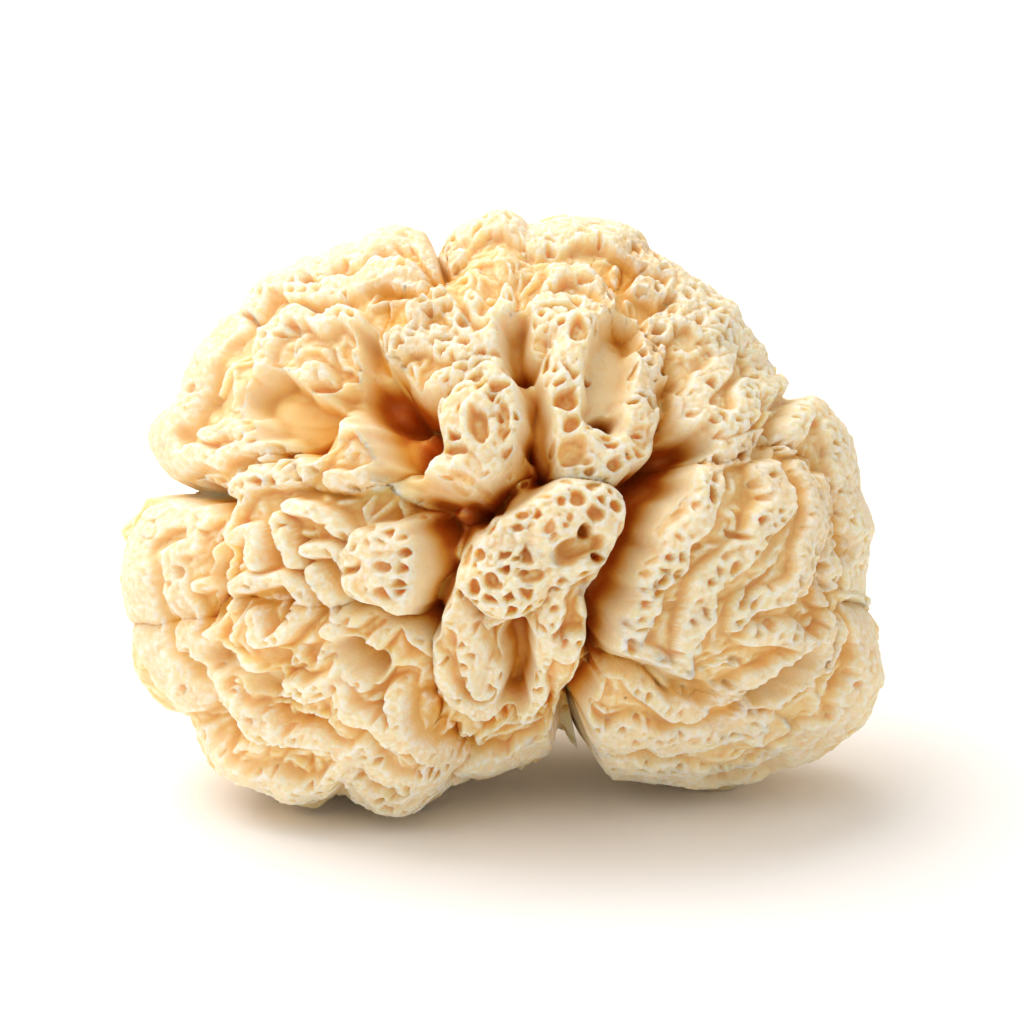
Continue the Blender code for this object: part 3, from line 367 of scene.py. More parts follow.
@dataclass(frozen=True)
class Face:
    """How the head's face leans and where it stands, in millimetres, and the dome over it."""

    tilt: float = math.radians(18.0)
    floor_rise: float = -1.9
    middle: tuple[float, float] = (0.304, 11.545)
    dome_centre: tuple[float, float] = (0.3, 37.8)
    dome_front: float = 31.0
    dome_back: float = 33.0
    root: Place = (4.5, 37.0, -14.0)
    round_waves: int = 4
    low_below: float = 25.0
    low_shift: tuple[float, float] = (2.7, -0.275)
    low_limits: tuple[float, float] = (-5.0, 6.0)

    def to_world(self, places: Points) -> Points:
        """Turns face places into world places.

        Args:
            places: rows of (across, up, forward) in millimetres.

        Returns:
            Rows of (x, y, z) in millimetres. The face is turned back about the X axis by its
            tilt, and moved so that the head's box stands centred on the floor.
        """
        across, up, forward = np.moveaxis(np.asarray(places, float), -1, 0)
        lean, rise = math.sin(self.tilt), math.cos(self.tilt)
        return np.stack(
            (
                across - self.middle[0],
                up * lean - forward * rise - self.middle[1],
                up * rise + forward * lean + self.floor_rise,
            ),
            axis=-1,
        )

    def outline_reach(self, turn: Points) -> tuple[Points, Points]:
        """How far the outline lies from the dome's centre.

        Args:
            turn: directions round the face, in radians.

        Returns:
            The distance to the outline as it is seen, and the same with only its broad waves.
        """
        away = np.array(OUTLINE) - np.array(self.dome_centre)
        angles, reaches = np.arctan2(away[:, 1], away[:, 0]), np.linalg.norm(away, axis=1)
        order = np.argsort(angles)
        around = np.linspace(-math.pi, math.pi, 720, endpoint=False)
        seen = np.interp(around, angles[order], reaches[order], period=2 * math.pi)
        waves = np.fft.rfft(seen)
        waves[self.round_waves:] = 0
        broad = np.fft.irfft(waves, len(seen))
        return tuple(np.interp(turn, around, each, period=2 * math.pi) for each in (seen, broad))

    def dome(self, angle: Points, turn: Points) -> Points:
        """The head's envelope.

        Args:
            angle: the angle from the face's forward pole, in radians.
            turn: the direction round the face, in radians.

        Returns:
            Rows of (across, up, forward): an ellipsoid's place whose half width is the
            outline's reach, broad near the poles and exact at the widest, with its lower
            side moved fore or aft to where it rests on the floor.
        """
        seen, broad = self.outline_reach(turn)
        wide = np.sin(angle)
        reach = (broad + (seen - broad) * smooth_step(0.72, 0.97, wide)) * wide
        across = self.dome_centre[0] + reach * np.cos(turn)
        up = self.dome_centre[1] + reach * np.sin(turn)
        low = np.clip((self.low_below - up) / self.low_below, 0.0, 1.0) ** 2
        shift = low * np.clip(self.low_shift[0] + self.low_shift[1] * across, *self.low_limits)
        depth = np.where(angle < math.pi / 2, self.dome_front, self.dome_back)
        return np.stack((across, up, depth * np.cos(angle) + shift), axis=-1)


def smooth_step(low: float, high: float, value: Points) -> Points:
    """Rises from 0 at low to 1 at high along 3x squared minus 2x cubed."""
    share = np.clip((value - low) / (high - low), 0.0, 1.0)
    return share * share * (3.0 - 2.0 * share)


def scatter(cells: Points, seed: int, count: int = 1) -> Points:
    """Random numbers that depend only on whole-number cells.

    Args:
        cells: whole numbers, with the cell's place along the last axis.
        seed: tells one pattern from another.
        count: how many numbers each cell gets.

    Returns:
        Numbers from 0 to 1, with count of them along a new last axis. The cell's numbers are
        multiplied by large odd numbers, mixed by shifts, and the low bits dropped.
    """
    odd = np.array([73856093, 19349663, 83492791], np.int64)[: cells.shape[-1]]
    mixed = (cells.astype(np.int64) * odd).sum(axis=-1) + seed * 2654435761
    found = []
    for turn in range(count):
        value = (mixed + turn * 40503 * 97) & 0xFFFFFFFF
        value = ((value ^ (value >> 16)) * 0x45D9F3B) & 0xFFFFFFFF
        value = ((value ^ (value >> 16)) * 0x45D9F3B) & 0xFFFFFFFF
        found.append(((value ^ (value >> 16)) >> 8) / float(1 << 24))
    return np.stack(found, axis=-1)


def soft_noise(places: Points, size: float, seed: int) -> Points:
    """Smooth noise in space.

    Args:
        places: places along the last axis, in millimetres, of 1, 2 or 3 numbers.
        size: the distance between the noise's own values.
        seed: tells one noise from another.

    Returns:
        Values from -1 to 1: random values on a lattice, blended between with a fifth-power ease.
    """
    scaled = places / size
    low = np.floor(scaled).astype(np.int64)
    part = scaled - low
    ease = part**3 * (part * (part * 6.0 - 15.0) + 10.0)
    total = np.zeros(places.shape[:-1])
    for corner in np.ndindex(*(2,) * places.shape[-1]):
        step = np.array(corner)
        weight = np.prod(np.where(step, ease, 1.0 - ease), axis=-1)
        total += weight * scatter(low + step, seed)[..., 0]
    return total * 2.0 - 1.0


def rough_noise(places: Points, size: float, seed: int, layers: int) -> Points:
    """Soft noise at a size, plus half as much at half the size, and so on for the layers given."""
    return sum(soft_noise(places, size / 2**k, seed + k) / 2**k for k in range(layers))


def noise_shift(places: Points, size: float, seed: int) -> Points:
    """A smooth random shift in space, each of its three numbers from -1 to 1."""
    return np.stack([soft_noise(places, size, seed + k) for k in range(3)], axis=-1)


def cell_noise(places: Points, seed: int, wander: float = 0.85) -> tuple[Points, Points, Points]:
    """Distances to scattered cell centres.

    Args:
        places: places along the last axis, in cell sizes.
        seed: tells one pattern from another.
        wander: how far a centre may lie from the middle of its cell, from 0 to 1.

    Returns:
        The distance to the nearest centre, the distance to the next, and a random number of
        the nearest cell. Each cell of a lattice holds one centre at a random place.
    """
    low = np.floor(places).astype(np.int64)
    shape = places.shape[:-1]
    near, following, owner = np.full(shape, 9.0), np.full(shape, 9.0), np.zeros(shape)
    for corner in np.ndindex(*(3,) * places.shape[-1]):
        cell = low + np.array(corner) - 1
        random = scatter(cell, seed, places.shape[-1] + 1)
        centre = cell + 0.5 + wander * (random[..., :-1] - 0.5)
        distance = np.linalg.norm(places - centre, axis=-1)
        closer = distance < near
        following = np.where(closer, near, np.minimum(following, distance))
        owner = np.where(closer, random[..., -1], owner)
        near = np.where(closer, distance, near)
    return near, following, owner


def maze(places: Points, outward: Points, seed: int, waves: int = 16) -> Points:
    """Distances to the lines of a random maze.

    Args:
        places: places as rows, in wavelengths of the maze.
        outward: the skin's rough outward direction at each place.
        seed: tells one maze from another.
        waves: how many waves are summed.

    Returns:
        The distance in wavelengths. Plane waves of one length and random directions are
        summed; the lines are where the sum is zero, and the distance to them is about the
        sum's size over its slope along the skin.
    """
    random = np.random.default_rng(seed)
    aims = unit(random.normal(size=(waves, 3))) * 2.0 * math.pi
    phase = places @ aims.T + random.uniform(0.0, 2.0 * math.pi, waves)
    slope = -np.sin(phase) @ aims
    slope = slope - (slope * outward).sum(axis=1, keepdims=True) * outward
    return np.abs(np.cos(phase).sum(axis=1)) / np.maximum(np.linalg.norm(slope, axis=1), 6.0)


def smooth_line(points: Points, per_span: int = 10) -> Points:
    """A curve through points.

    Args:
        points: the points, as rows.
        per_span: steps between two points.

    Returns:
        Rows along the Catmull-Rom curve: each span is the cubic that meets its two points
        with slopes along the chords of their neighbours.
    """
    padded = np.vstack((2 * points[0] - points[1], points, 2 * points[-1] - points[-2]))
    steps = np.linspace(0.0, 1.0, per_span, endpoint=False)[:, None]
    spans = [
        0.5
        * (
            2 * start
            + (end - before) * steps
            + (2 * before - 5 * start + 4 * end - after) * steps**2
            + (3 * start - before - 3 * end + after) * steps**3
        )
        for before, start, end, after in zip(padded, padded[1:], padded[2:], padded[3:])
    ]
    return np.vstack((*spans, points[-1:]))


def unit(rows: Points) -> Points:
    """Each row scaled to length 1."""
    return rows / np.maximum(np.linalg.norm(rows, axis=-1, keepdims=True), 1e-9)


@dataclass
class Skins:
    """A part of the head's skin.

    Besides places and triangles it holds, for each place, the depth, the crest and the inner
    share that the finish reads, and the number of the bundle that owns the place.
    """

    places: Points
    triangles: Points
    depth: Points
    crest: Points
    inner: Points
    owner: Points


def grid_triangles(number: Points) -> Points:
    """Triangles of a grid.

    Args:
        number: the vertex number at each row and column; numbers may repeat where the grid closes.

    Returns:
        Rows of three vertex numbers, two for each square of the grid, less those that a
        repeated number makes flat.
    """
    a, b, c, d = number[:-1, :-1], number[1:, :-1], number[1:, 1:], number[:-1, 1:]
    rows = np.concatenate([np.stack((a, b, c), -1).reshape(-1, 3), np.stack((a, c, d), -1).reshape(-1, 3)])
    return rows[(rows[:, 0] != rows[:, 1]) & (rows[:, 1] != rows[:, 2]) & (rows[:, 2] != rows[:, 0])]


def oval_share(flat: Points, middle: tuple[float, float], half: tuple[float, float], turn: float) -> Points:
    """How far places lie from an oval's middle.

    Args:
        flat: places across and up the face.
        middle: the oval's middle.
        half: its half sizes along its long axis and across it.
        turn: its long axis's turn from level, in degrees.

    Returns:
        The distance as a share of the oval's own reach in that direction.
    """
    away = flat - np.array(middle)
    turned = math.radians(turn)
    along = (away[:, 0] * math.cos(turned) + away[:, 1] * math.sin(turned)) / half[0]
    over = (away[:, 1] * math.cos(turned) - away[:, 0] * math.sin(turned)) / half[1]
    return np.sqrt(along**2 + over**2)


def disc_of_square(row: Points, column: Points) -> tuple[Points, Points]:
    """Turns a square's places into a disc's.

    Args:
        row: places along the square's first side, from -1 to 1.
        column: places along its second.

    Returns:
        The disc's radius and direction: each square ring becomes a circle.
    """
    wide = np.abs(row) >= np.abs(column)
    major, minor = np.where(wide, row, column), np.where(wide, column, row)
    turn = (math.pi / 4) * minor / np.where(major == 0, 1.0, major)
    across = major * np.where(wide, np.cos(turn), np.sin(turn))
    up = major * np.where(wide, np.sin(turn), np.cos(turn))
    return np.abs(major), np.arctan2(up, across)


@dataclass(frozen=True)
class FineRelief:
    """The relief that every skin shares.

    Lengths are in millimetres. A name that ends in size or cell is the distance over which a
    pattern changes, and one that ends in wall, reach or clear is the width of a slope.
    """

    edge_power: float = 3.0
    edge_slope: float = 3.0
    bend: float = 1.9
    bend_size: float = 5.5
    floor_depth: float = 9.0
    parting: float = 1.0
    parting_reach: float = 0.9
    warp: float = 1.7
    warp_size: float = 4.6
    rim_wall: float = 0.62
    low_rim: float = 0.62
    maze_height: float = 0.74
    uneven_size: float = 5.5
    notch: float = 0.35
    notch_size: float = 1.5
    crease: float = 0.36
    crease_size: float = 2.6
    crease_width: float = 0.16
    crease_patch_size: float = 9.0
    bowl: float = 0.46
    hollow_slope: float = 0.35
    fold_size: float = 6.5
    crown_share: float = 0.66
    crown_wall: float = 0.70
    crown_clear: float = 3.0
    crown_bend: float = 0.6
    crown_bend_size: float = 2.6
    cleft_bend: float = 0.9
    cleft_bend_size: float = 2.8
    cleft_wall: float = 1.6
    line_reach: float = 5.0
    net_bend: float = 0.5
    net_bend_size: float = 1.9
    rib_wall: float = 0.38
    small_cell: float = 0.9
    small_pit: float = 0.14
    grain_size: float = 0.56
    grain: float = 0.19
    pit_rim: float = 0.06
    swell: float = 0.8
    swell_size: float = 7.5
    back_cell: float = 17.0
    back_fall: float = 5.0


class Pattern(IntEnum):
    """The numbers that tell the random patterns from one another."""

    SEAM = 12
    SWELL = 31
    BACK = 33
    BEND = 41
    WARP = 51
    NET_BEND = 59
    CROWN_BEND = 61
    CLEFT_BEND = 65
    MAZE = 71
    BOWLS = 72
    UNEVEN = 73
    NOTCH = 74
    CREASE = 77
    CREASE_PATCH = 78
    FOLD = 79
    NET = 81
    SMALL = 91
    GRAIN = 101


@dataclass
class Relief:
    """Works out how far the head's skin lies below its envelope."""

    fine: FineRelief = field(default_factory=FineRelief)

    def lobes(self, flat: Points) -> tuple[Points, Points, Points]:
        """The lobes' swelling.

        Args:
            flat: places across and up the face.

        Returns:
            The height of the highest lobe's skin over the envelope, that lobe's number, and by
            how much it is higher than any lobe of another bundle. A lobe falls from its middle
            like a rounded cushion, and steeply beyond its edge.
        """
        highest, owner = np.full((len(BUNDLES), len(flat)), -99.0), np.zeros(len(flat), int)
        best = np.full(len(flat), -99.0)
        power = self.fine.edge_power
        for number, lobe in enumerate(LOBES):
            share = oval_share(flat, lobe.middle, lobe.half, lobe.turn)
            cushion = np.clip(1.0 - np.minimum(share, 1.0) ** power, 0.0, 1.0) ** (1.0 / power)
            beyond = self.fine.edge_slope * np.maximum(share - 1.0, 0.0) * lobe.half[1]
            height = lobe.lift - lobe.fall * (1.0 - cushion) - beyond
            owner = np.where(height > best, number, owner)
            best = np.maximum(best, height)
            bundle = BUNDLE_OF[number]
            highest[bundle] = np.maximum(highest[bundle], height)
        lead = best - np.partition(highest, -2, axis=0)[-2]
        return np.maximum(best, -self.fine.floor_depth), owner, lead

    def near_line(self, flat: Points, line: Line) -> tuple[Points, Points]:
        """Finds the places near a line.

        Args:
            flat: places across and up the face.
            line: the line's points.

        Returns:
            The numbers of the places within reach, and how far each is from the smooth curve
            through the points: the least distance to the curve's own steps.
        """
        course = smooth_line(np.array(line, float))
        low, high = course.min(axis=0) - self.fine.line_reach, course.max(axis=0) + self.fine.line_reach
        chosen = np.flatnonzero(np.all((flat > low) & (flat < high), axis=1))
        gap = np.full(len(chosen), np.inf)
        for part in np.array_split(course, max(1, len(course) // 12)):
            square = ((flat[chosen, None, :] - part[None, :, :]) ** 2).sum(axis=-1)
            gap = np.minimum(gap, square.min(axis=1))
        return chosen, np.sqrt(gap)

    def crowns(self, flat: Points) -> tuple[Points, Points, Points]:
        """The ridges seen on the face.

        Args:
            flat: places across and up the face.

        Returns:
            Their height from 0 to 1, flat on top with steep sides, the distance to the nearest
            ridge's side in millimetres, and its pitting.
        """
        pitting = np.zeros(len(flat))
        nearest = np.full(len(flat), self.fine.line_reach)
        for crown in CROWNS:
            chosen, gap = self.near_line(flat, crown.line)
            beside = gap - self.fine.crown_share * crown.half_width
            closer = beside < nearest[chosen]
            pitting[chosen] = np.where(closer, crown.pitting, pitting[chosen])
            nearest[chosen] = np.minimum(nearest[chosen], beside)
        height = 1.0 - smooth_step(-0.2, self.fine.crown_wall, nearest)
        return height, np.maximum(nearest, 0.0), pitting

    def clefts(self, flat: Points) -> Points:
        """How deep the clefts seen on the face go.

        Args:
            flat: places across and up the face.

        Returns:
            The depth in millimetres: level along a cleft's middle, with sloping walls.
        """
        depth = np.zeros(len(flat))
        for cleft in CLEFTS:
            chosen, gap = self.near_line(flat, cleft.line)
            floor = 0.5 * cleft.half_width
            found = cleft.depth * (1.0 - smooth_step(floor, floor + self.fine.cleft_wall, gap))
            depth[chosen] = np.maximum(depth[chosen], found)
        return depth

    def pits(self, flat: Points) -> tuple[Points, Points]:
        """How deep the pits seen on the face go, and how near their low rims are.

        Args:
            flat: places across and up the face.

        Returns:
            The depth in millimetres, deepest at each oval's middle and ending at its edge, and
            nearness to the rim from 0 to 1.
        """
        sink, rim = np.zeros(len(flat)), np.zeros(len(flat))
        for pit in PITS:
            reach = oval_share(flat, pit.place, pit.half, pit.turn)
            sink = np.maximum(sink, 1.25 * pit.depth * (1.0 - smooth_step(0.62, 1.08, reach)))
            rim = np.maximum(rim, np.exp(-(((reach - 1.3) / 0.3) ** 2)))
        return sink, rim

    def hollows(self, places: Points, outward: Points, owner: Points) -> tuple[Points, Points]:
        """The maze of thin rims and the smooth hollows between them.

        Args:
            places: the envelope's places.
            outward: its outward directions.
            owner: the number of the lobe at each place.

        Returns:
            The rims' height from 0 to 1, and how far a hollow's floor slopes away from them in
            millimetres. High rims run in a wide maze, and lower ones close it into round bowls.
        """
        fine = self.fine
        period, rim, stretch = (self.of_skin(name, owner) for name in ("period", "rim", "stretch"))
        crease = np.radians(np.array([lobe.crease for lobe in LOBES]))[owner]
        aim = np.stack((np.cos(crease), np.sin(crease), 0.0 * crease), axis=1)
        warped = places + fine.warp * noise_shift(places, fine.warp_size, Pattern.WARP)
        warped = warped - stretch[:, None] * (warped * aim).sum(axis=1, keepdims=True) * aim
        wide = maze(warped / period[:, None], outward, Pattern.MAZE) * period
        near, following, _ = cell_noise(warped / (fine.bowl * period[:, None]), Pattern.BOWLS)
        narrow = (following - near) * fine.bowl * period / 2
        uneven = 0.5 + 0.5 * soft_noise(places, fine.uneven_size, Pattern.UNEVEN)
        notch = fine.notch * soft_noise(places, fine.notch_size, Pattern.NOTCH)
        high = (1.0 - smooth_step(0.0, fine.rim_wall, wide - rim)) * (0.72 + 0.28 * uneven - notch / 2)
        low = (1.0 - smooth_step(0.0, fine.rim_wall, narrow - 0.7 * rim)) * fine.low_rim
        low = low * (1.3 - 0.8 * uneven + notch)
        return np.clip(np.maximum(high, low), 0.0, 1.0), fine.hollow_slope * np.minimum(wide, narrow)

    def of_skin(self, name: str, owner: Points) -> Points:
        """One of the numbers of the skin at each place, from the lobe's number there."""
        return np.array([getattr(RELIEFS[lobe.skin], name) for lobe in LOBES])[owner]

    def broad(self, places: Points, front: Points) -> tuple[Points, Points, Points, Points]:
        """The broad relief: lobes and clefts.

        Args:
            places: the envelope's places, as rows of (across, up, forward).
            front: 1 where a place looks forward enough to be seen on the face, 0 behind.

        Returns:
            How far each place falls below the envelope, how calm its skin is in a deep place
            from 1 to near 0, by how much its lobe is higher than other bundles', and the
            lobe's number.
        """
        fine = self.fine
        bent = places + fine.bend * noise_shift(places, fine.bend_size, Pattern.BEND)
        height, owner, lead = self.lobes(bent[:, :2])
        near, following, _ = cell_noise(bent / fine.back_cell, Pattern.BACK)
        behind = -fine.back_fall * np.maximum(1.0 - 2.2 * (following - near), 0.0) ** 2
        height = front * height + (1.0 - front) * behind
        shift = noise_shift(places, fine.cleft_bend_size, Pattern.CLEFT_BEND)
        cleft = self.clefts(places[:, :2] + fine.cleft_bend * shift[:, :2]) * front
        deep = np.maximum(smooth_step(1.5, 5.0, cleft), smooth_step(3.5, 7.0, -height) * front)
        swell = fine.swell * rough_noise(places, fine.swell_size, Pattern.SWELL, 2)
        return cleft - height - swell, 1.0 - 0.92 * deep, lead, owner

    def net(self, places: Points, owner: Points, lace: Points) -> tuple[Points, Points]:
        """The net of thin ribs round open pits.

        Args:
            places: the skin's places.
            owner: the number of the lobe at each place.
            lace: how much of the skin is netted, from 0 to 1.

        Returns:
            How far into a pit each place lies, from 0 on a rib to 1 in an open pit, and the
            bent places that the net is read at.
        """
        fine = self.fine
        bent = places + fine.net_bend * noise_shift(places, fine.net_bend_size, Pattern.NET_BEND)
        cell, rib = self.of_skin("cell", owner), self.of_skin("rib", owner)
        near, following, chance = cell_noise(bent / cell[:, None], Pattern.NET)
        open_cell = smooth_step(1.0 - lace - 0.05, 1.0 - lace + 0.05, chance)
        return smooth_step(0.0, fine.rib_wall, (following - near) * cell / 2 - rib) * open_cell, bent

    def creases(self, places: Points, bent: Points) -> Points:
        """Thin creases in patches.

        Args:
            places: the skin's places.
            bent: the same places, bent as the net is.

        Returns:
            Their depth in millimetres: greatest where a rough noise is zero, and fading fast
            as it leaves zero.
        """
        fine = self.fine
        creased = np.abs(rough_noise(places + 0.8 * (bent - places), fine.crease_size, Pattern.CREASE, 2))
        creased = fine.crease * np.exp(-((creased / fine.crease_width) ** 2))
        patch = soft_noise(places, fine.crease_patch_size, Pattern.CREASE_PATCH)
        return creased * (0.25 + 0.75 * smooth_step(-0.1, 0.5, patch))

    def fall(self, face: Points, places: Points, outward: Points, front: Points,
             broad: tuple[Points, Points, Points, Points]) -> tuple[Points, Points, Points]:
        """The fine relief over the broad one.

        Args:
            face: the envelope's places, where the ridges and pits seen on the face are read.
            places: the same places once they have fallen by the broad relief.
            outward: the envelope's outward directions.
            front: 1 where a place looks forward enough to be seen on the face, 0 behind.
            broad: what the broad relief gave.

        Returns:
            How far each place falls below the envelope, the part of that which is fine relief,
            and how much of a crest the place is.
        """
        fine = self.fine
        sunk, calm, lead, owner = broad
        ridge, slope = self.hollows(places, outward, owner)
        shift = noise_shift(face, fine.crown_bend_size, Pattern.CROWN_BEND)
        flat = face[:, :2] + fine.crown_bend * shift[:, :2]
        seen, beside, pitting = self.crowns(flat)
        clear = smooth_step(0.0, fine.crown_clear, beside) * front + (1.0 - front)
        ridge = np.maximum(ridge * fine.maze_height * (0.1 + 0.9 * clear), self.of_skin("cap", owner) * front)
        ridge = np.maximum(ridge, seen * front)
        lace = np.clip(self.of_skin("lace", owner) + 0.5 * (pitting - 0.4) * seen * front, 0.0, 1.0)

        pit, bent = self.net(places, owner, lace)
        pit = pit * smooth_step(0.25, 0.7, ridge)
        near, following, chance = cell_noise(places / fine.small_cell, Pattern.SMALL)
        small = smooth_step(0.1, 0.5, following - near) * smooth_step(0.4, 0.8, chance)
        sink, rim = self.pits(flat)
        sink, rim = sink * front, rim * front

        fold = self.of_skin("fold", owner) * (0.75 + 0.4 * soft_noise(places, fine.fold_size, Pattern.FOLD))
        skin_fall = (fold * (1.0 - ridge) + slope) * calm
        skin_fall = skin_fall + self.of_skin("pit", owner) * pit * (1.0 - 0.8 * rim) * calm
        skin_fall = skin_fall + self.creases(places, bent) * (1.0 - pit) * calm
        skin_fall = np.maximum(skin_fall, sink)
        skin_fall = skin_fall + fine.small_pit * small * (0.35 + 0.65 * ridge) * calm
        grain = rough_noise(places, fine.grain_size, Pattern.GRAIN, 2) * fine.grain * (0.3 + 0.7 * ridge) * calm
        skin_fall = skin_fall + fine.parting * np.exp(-lead / fine.parting_reach)
        total = sunk + skin_fall - grain - fine.pit_rim * rim
        crest = smooth_step(0.45, 0.95, ridge) * (1.0 - pit) * (1.0 - smooth_step(0.1, 0.8, sink)) * calm
        return total, skin_fall, crest


@dataclass(frozen=True)
class Weave:
    """How finely the skin is laid, and how its front and back halves meet behind the widest ring.

    seam is the meeting ring's angle from the forward pole, seam_wave how far it wavers, and
    groove and groove_width the depth in millimetres and half width of the groove it lies in.
    sharpest is how far one place may stand out of its neighbours, steep the fall from cell to
    cell that halves the fine relief, and inner_reach and inner_turn how far from where pieces
    meet light passes through the jelly. facing is the range of the angle's cosine over which
    the face begins, and amber_falls the falls over which the colour goes to amber: painted
    shade deep in the clefts, over the jelly's own tint. The last two numbers are how much
    painted shade darkens the colour where two bundles meet and how far from there it reaches.
    """

    front_steps: int = 600
    back_steps: int = 300
    seam: float = math.radians(98.0)
    seam_wave: float = math.radians(3.5)
    seam_wave_size: float = 0.35
    groove: float = 2.4
    groove_width: float = math.radians(3.0)
    rim_rise: float = 0.9
    rim_quiet: float = 0.45
    facing: tuple[float, float] = (-0.10, 0.22)
    amber_falls: tuple[float, float] = (3.0, 9.5)
    edge_cells: int = 3
    edge_height: float = 0.35
    sharpest: float = 0.45
    steep: float = 0.45
    steep_calm: float = 0.2
    smoothing: float = 0.7
    inner_reach: float = 1.5
    inner_turn: float = math.radians(3.5)
    # painted shade where two bundles meet
    seam_shade_depth: float = 0.3
    seam_shade_reach: float = 0.6


@dataclass
class NodeBench:
    """Adds nodes to a material."""

    tree: bpy.types.NodeTree

    def fill(self, node: bpy.types.Node, values: dict) -> None:
        """Fills a node's inputs.

        Args:
            node: the node.
            values: what goes into each input: a socket is joined, and anything else is set.
        """
        for key, value in values.items():
            if isinstance(value, bpy.types.NodeSocket):
                self.tree.links.new(value, node.inputs[key])
            else:
                node.inputs[key].default_value = value

    def add(self, kind: str, values: dict | None = None, **options: str) -> bpy.types.NodeOutputs:
        """Adds a node.

        Args:
            kind: the node's type, less the beginning that all of them share.
            values: a value or an incoming socket for each input.
            options: its other settings.

        Returns:
            The node's outputs.
        """
        node = self.tree.nodes.new("ShaderNode" + kind)
        for name, option in options.items():
            setattr(node, name, option)
        self.fill(node, values or {})
        return node.outputs


@dataclass(frozen=True)
class Jelly:
    """The finish of the dried jelly: cream on the crests, amber down the walls, brown in the depths; the amber
    and brown are partly the jelly's own tint and partly painted shade, the cream partly painted highlight.
    """

    crest: Colour = (0.96, 0.865, 0.72)
    skin: Colour = (0.92, 0.74, 0.46)
    wall: Colour = (0.90, 0.63, 0.27)
    amber: Colour = (0.84, 0.43, 0.07)
    brown: Colour = (0.62, 0.15, 0.008)
    speck: Colour = (0.42, 0.26, 0.09)
    wall_depth: float = 0.3
    amber_depth: float = 0.65
    roughness: float = 0.55
    shine: float = 0.35
    scatter_radius: Colour = (1.0, 0.75, 0.45)
    scatter_scale: float = 0.0028
    cloud_per_metre: float = 160.0
    cloudiness: float = 0.24
    pale_patch_per_metre: float = 1100.0
    pale_patch_least: float = 0.15
    specks_per_metre: float = 330.0
    speck_rarity: float = 0.95
    grain_per_metre: float = 1900.0
    grain_strength: float = 0.7
    grain_height: float = 0.00018

    def skin_colour(self, bench: NodeBench, cloud: bpy.types.NodeSocket) -> bpy.types.NodeSocket:
        """The colour by depth under the crests: painted shade over the jelly's own amber tint, going from skin
        through wall and amber to brown the deeper a place lies.

        Args:
            bench: where the nodes are added.
            cloud: the pattern that makes the depth uneven.

        Returns:
            The colour's socket.
        """
        depth = bench.add("Attribute", attribute_name="depth")["Fac"]
        spread = {0: cloud, 1: self.cloudiness, 2: -self.cloudiness / 2}
        uneven = bench.add("Math", spread, operation="MULTIPLY_ADD")["Value"]
        total = bench.add("Math", {0: depth, 1: uneven}, operation="ADD")["Value"]
        colour = bench.add("ValToRGB", {"Fac": total})["Color"]
        steps = colour.node.color_ramp.elements
        steps[0].position, steps[1].position = 0.0, 1.0
        # painted shade: the ramp darkens to amber and brown with depth, over the jelly's own tint
        steps[0].color, steps[1].color = (*self.skin, 1.0), (*self.brown, 1.0)
        for spot, shade in ((self.wall_depth, self.wall), (self.amber_depth, self.amber)):
            steps.new(spot).color = (*shade, 1.0)
        return colour

    def material(self) -> bpy.types.Material:
        """Makes the material.

        Returns:
            A Principled material. Its colour follows how deep a place lies under the crests,
            darker amber and brown deeper down as painted shade over the jelly's own tint, with
            cloudy unevenness, paler patches on the crests that are partly the rims' own whiter
            tone and partly painted highlight, and a few specks, and a fine grain bumps its surface.
        """
        made = bpy.data.materials.new("dried_jelly")
        made.use_nodes = True
        bench = NodeBench(made.node_tree)
        place = bench.add("TexCoord")["Object"]
        scales = ((self.cloud_per_metre, 3.0), (self.pale_patch_per_metre, 4.0), (self.grain_per_metre, 4.0))
        cloud, pale_patch, grain = (
            bench.add("TexNoise", {"Scale": scale, "Detail": detail, "Vector": place})["Fac"]
            for scale, detail in scales
        )
        colour = self.skin_colour(bench, cloud)
        # partly painted highlight: the crest mask whitens ridges and bulges, on top of the rims' own paler tone
        crest = bench.add("Attribute", attribute_name="crest")["Fac"]
        limits = {"From Min": 0.38, "From Max": 0.60, "To Min": self.pale_patch_least, "Value": pale_patch}
        patchy = bench.add("MapRange", limits)["Result"]
        crest_paleness_and_highlight = bench.add("Math", {0: crest, 1: patchy}, operation="MULTIPLY")["Value"]
        pale_crest_mix = {"A": colour, "B": (*self.crest, 1.0), "Factor": crest_paleness_and_highlight}
        colour = bench.add("Mix", pale_crest_mix, data_type="RGBA")["Result"]

        dots = bench.add("TexVoronoi", {"Scale": self.specks_per_metre, "Vector": place})
        dot = bench.add("MapRange", {"From Min": 0.10, "From Max": 0.04, "Value": dots["Distance"]})["Result"]
        chance = bench.add("SeparateColor", {"Color": dots["Color"]})["Red"]
        rare = bench.add("Math", {0: chance, 1: self.speck_rarity}, operation="GREATER_THAN")["Value"]
        mask = bench.add("Math", {0: dot, 1: rare}, operation="MULTIPLY")["Value"]
        specks = {"A": colour, "B": (*self.speck, 1.0), "Factor": mask}
        bump = {"Strength": self.grain_strength, "Distance": self.grain_height, "Height": grain}
        finish = {
            "Base Color": bench.add("Mix", specks, data_type="RGBA")["Result"],
            "Roughness": self.roughness,
            "Specular IOR Level": self.shine,
            "Subsurface Weight": bench.add("Attribute", attribute_name="inner")["Fac"],
            "Subsurface Radius": self.scatter_radius,
            "Subsurface Scale": self.scatter_scale,
            "Normal": bench.add("Bump", bump)["Normal"],
        }
        bench.fill(made.node_tree.nodes["Principled BSDF"], finish)
        return made


